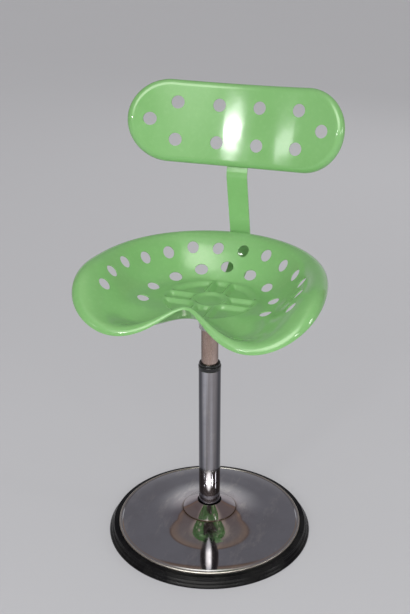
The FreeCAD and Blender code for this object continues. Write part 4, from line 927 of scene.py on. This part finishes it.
def world():
    """The eye sees a plain background; mirrors see the paper and the room beyond it."""
    made = bpy.data.worlds.new("studio")
    bpy.context.scene.world = made
    made.use_nodes = True
    room = Tree(made.node_tree)
    way = room.node("ShaderNodeTexCoord")["Generated"]
    parts = room.node("ShaderNodeSeparateXYZ", {}, {"Vector": way})
    x, y, z = parts["X"], parts["Y"], parts["Z"]

    def near(target):
        return x * target[0] + y * target[1] + z * target[2]

    ahead = (y * PAPER_WAY[1] + x * PAPER_WAY[0]).most(0.02)
    across = ((x * PAPER_WAY[1] - y * PAPER_WAY[0]) / ahead).size()
    beyond = (across - PAPER_HALF_WIDTH).most((z / ahead - PAPER_TOP) * 0.6)
    paper = room.mix(z.between(0.02, 0.55), BACKGROUND, PAPER_HIGH_UP)
    open_room = room.mix(z.between(0.3, 0.9), ROOM_LOW, ROOM_HIGH)
    beside = (1.0 - beyond.between(0.02, 0.30)) * 0.55
    open_room = room.mix(beside, open_room, ROOM_BESIDE_PAPER)
    open_room = room.mix(z.between(0.86, 0.985), open_room, ROOM_CEILING)
    tone = room.mix(beyond.between(-0.02, 0.02), paper, open_room)
    edge = 1.0 - beyond.size().between(0.0, 0.035)
    tone = room.mix(edge * 0.7, tone, PAPER_EDGE)
    tone = room.mix(near(OVERHEAD_WAY).between(0.90, 0.985), tone, OVERHEAD_PATCH)
    tone = room.mix(near(FRONT_WAY).between(0.86, 0.985), tone, FRONT_PATCH)
    tone = room.mix(room.node("ShaderNodeLightPath")["Is Glossy Ray"], BACKGROUND, tone)
    seen = room.node("ShaderNodeBackground", {}, {"Color": tone})
    even = room.node("ShaderNodeBackground", {}, {"Color": EVEN_LIGHT})
    both = room.node("ShaderNodeMixShader", {}, {0: room.seen_rays(), 1: even[0], 2: seen[0]})
    room.node("ShaderNodeOutputWorld", {}, {"Surface": both[0]})


def aim(made, way):
    made.rotation_euler = way.to_track_quat("-Z", "Y").to_euler()
    bpy.context.scene.collection.objects.link(made)


def lamp(name, bearing, distance, height, width, tall, power, aimed, mirrored):
    """A soft box that looks at a height on the stool's axis."""
    data = bpy.data.lights.new(name, "AREA")
    data.shape = "RECTANGLE"
    data.size = width
    data.size_y = tall
    data.energy = power
    made = bpy.data.objects.new(name, data)
    turn = math.radians(bearing)
    made.location = (math.sin(turn) * distance, -math.cos(turn) * distance, height)
    made.visible_glossy = mirrored
    aim(made, Vector((0, 0, aimed)) - Vector(made.location))


def camera():
    data = bpy.data.cameras.new("camera")
    data.lens = CAMERA_LENS
    data.sensor_width = CAMERA_SENSOR
    made = bpy.data.objects.new("camera", data)
    made.location = CAMERA_PLACE
    aim(made, CAMERA_WAY)
    bpy.context.scene.camera = made


floor()
world()
for values in LAMPS:
    lamp(*values)
camera()

bpy.context.scene.view_settings.view_transform = "Standard"
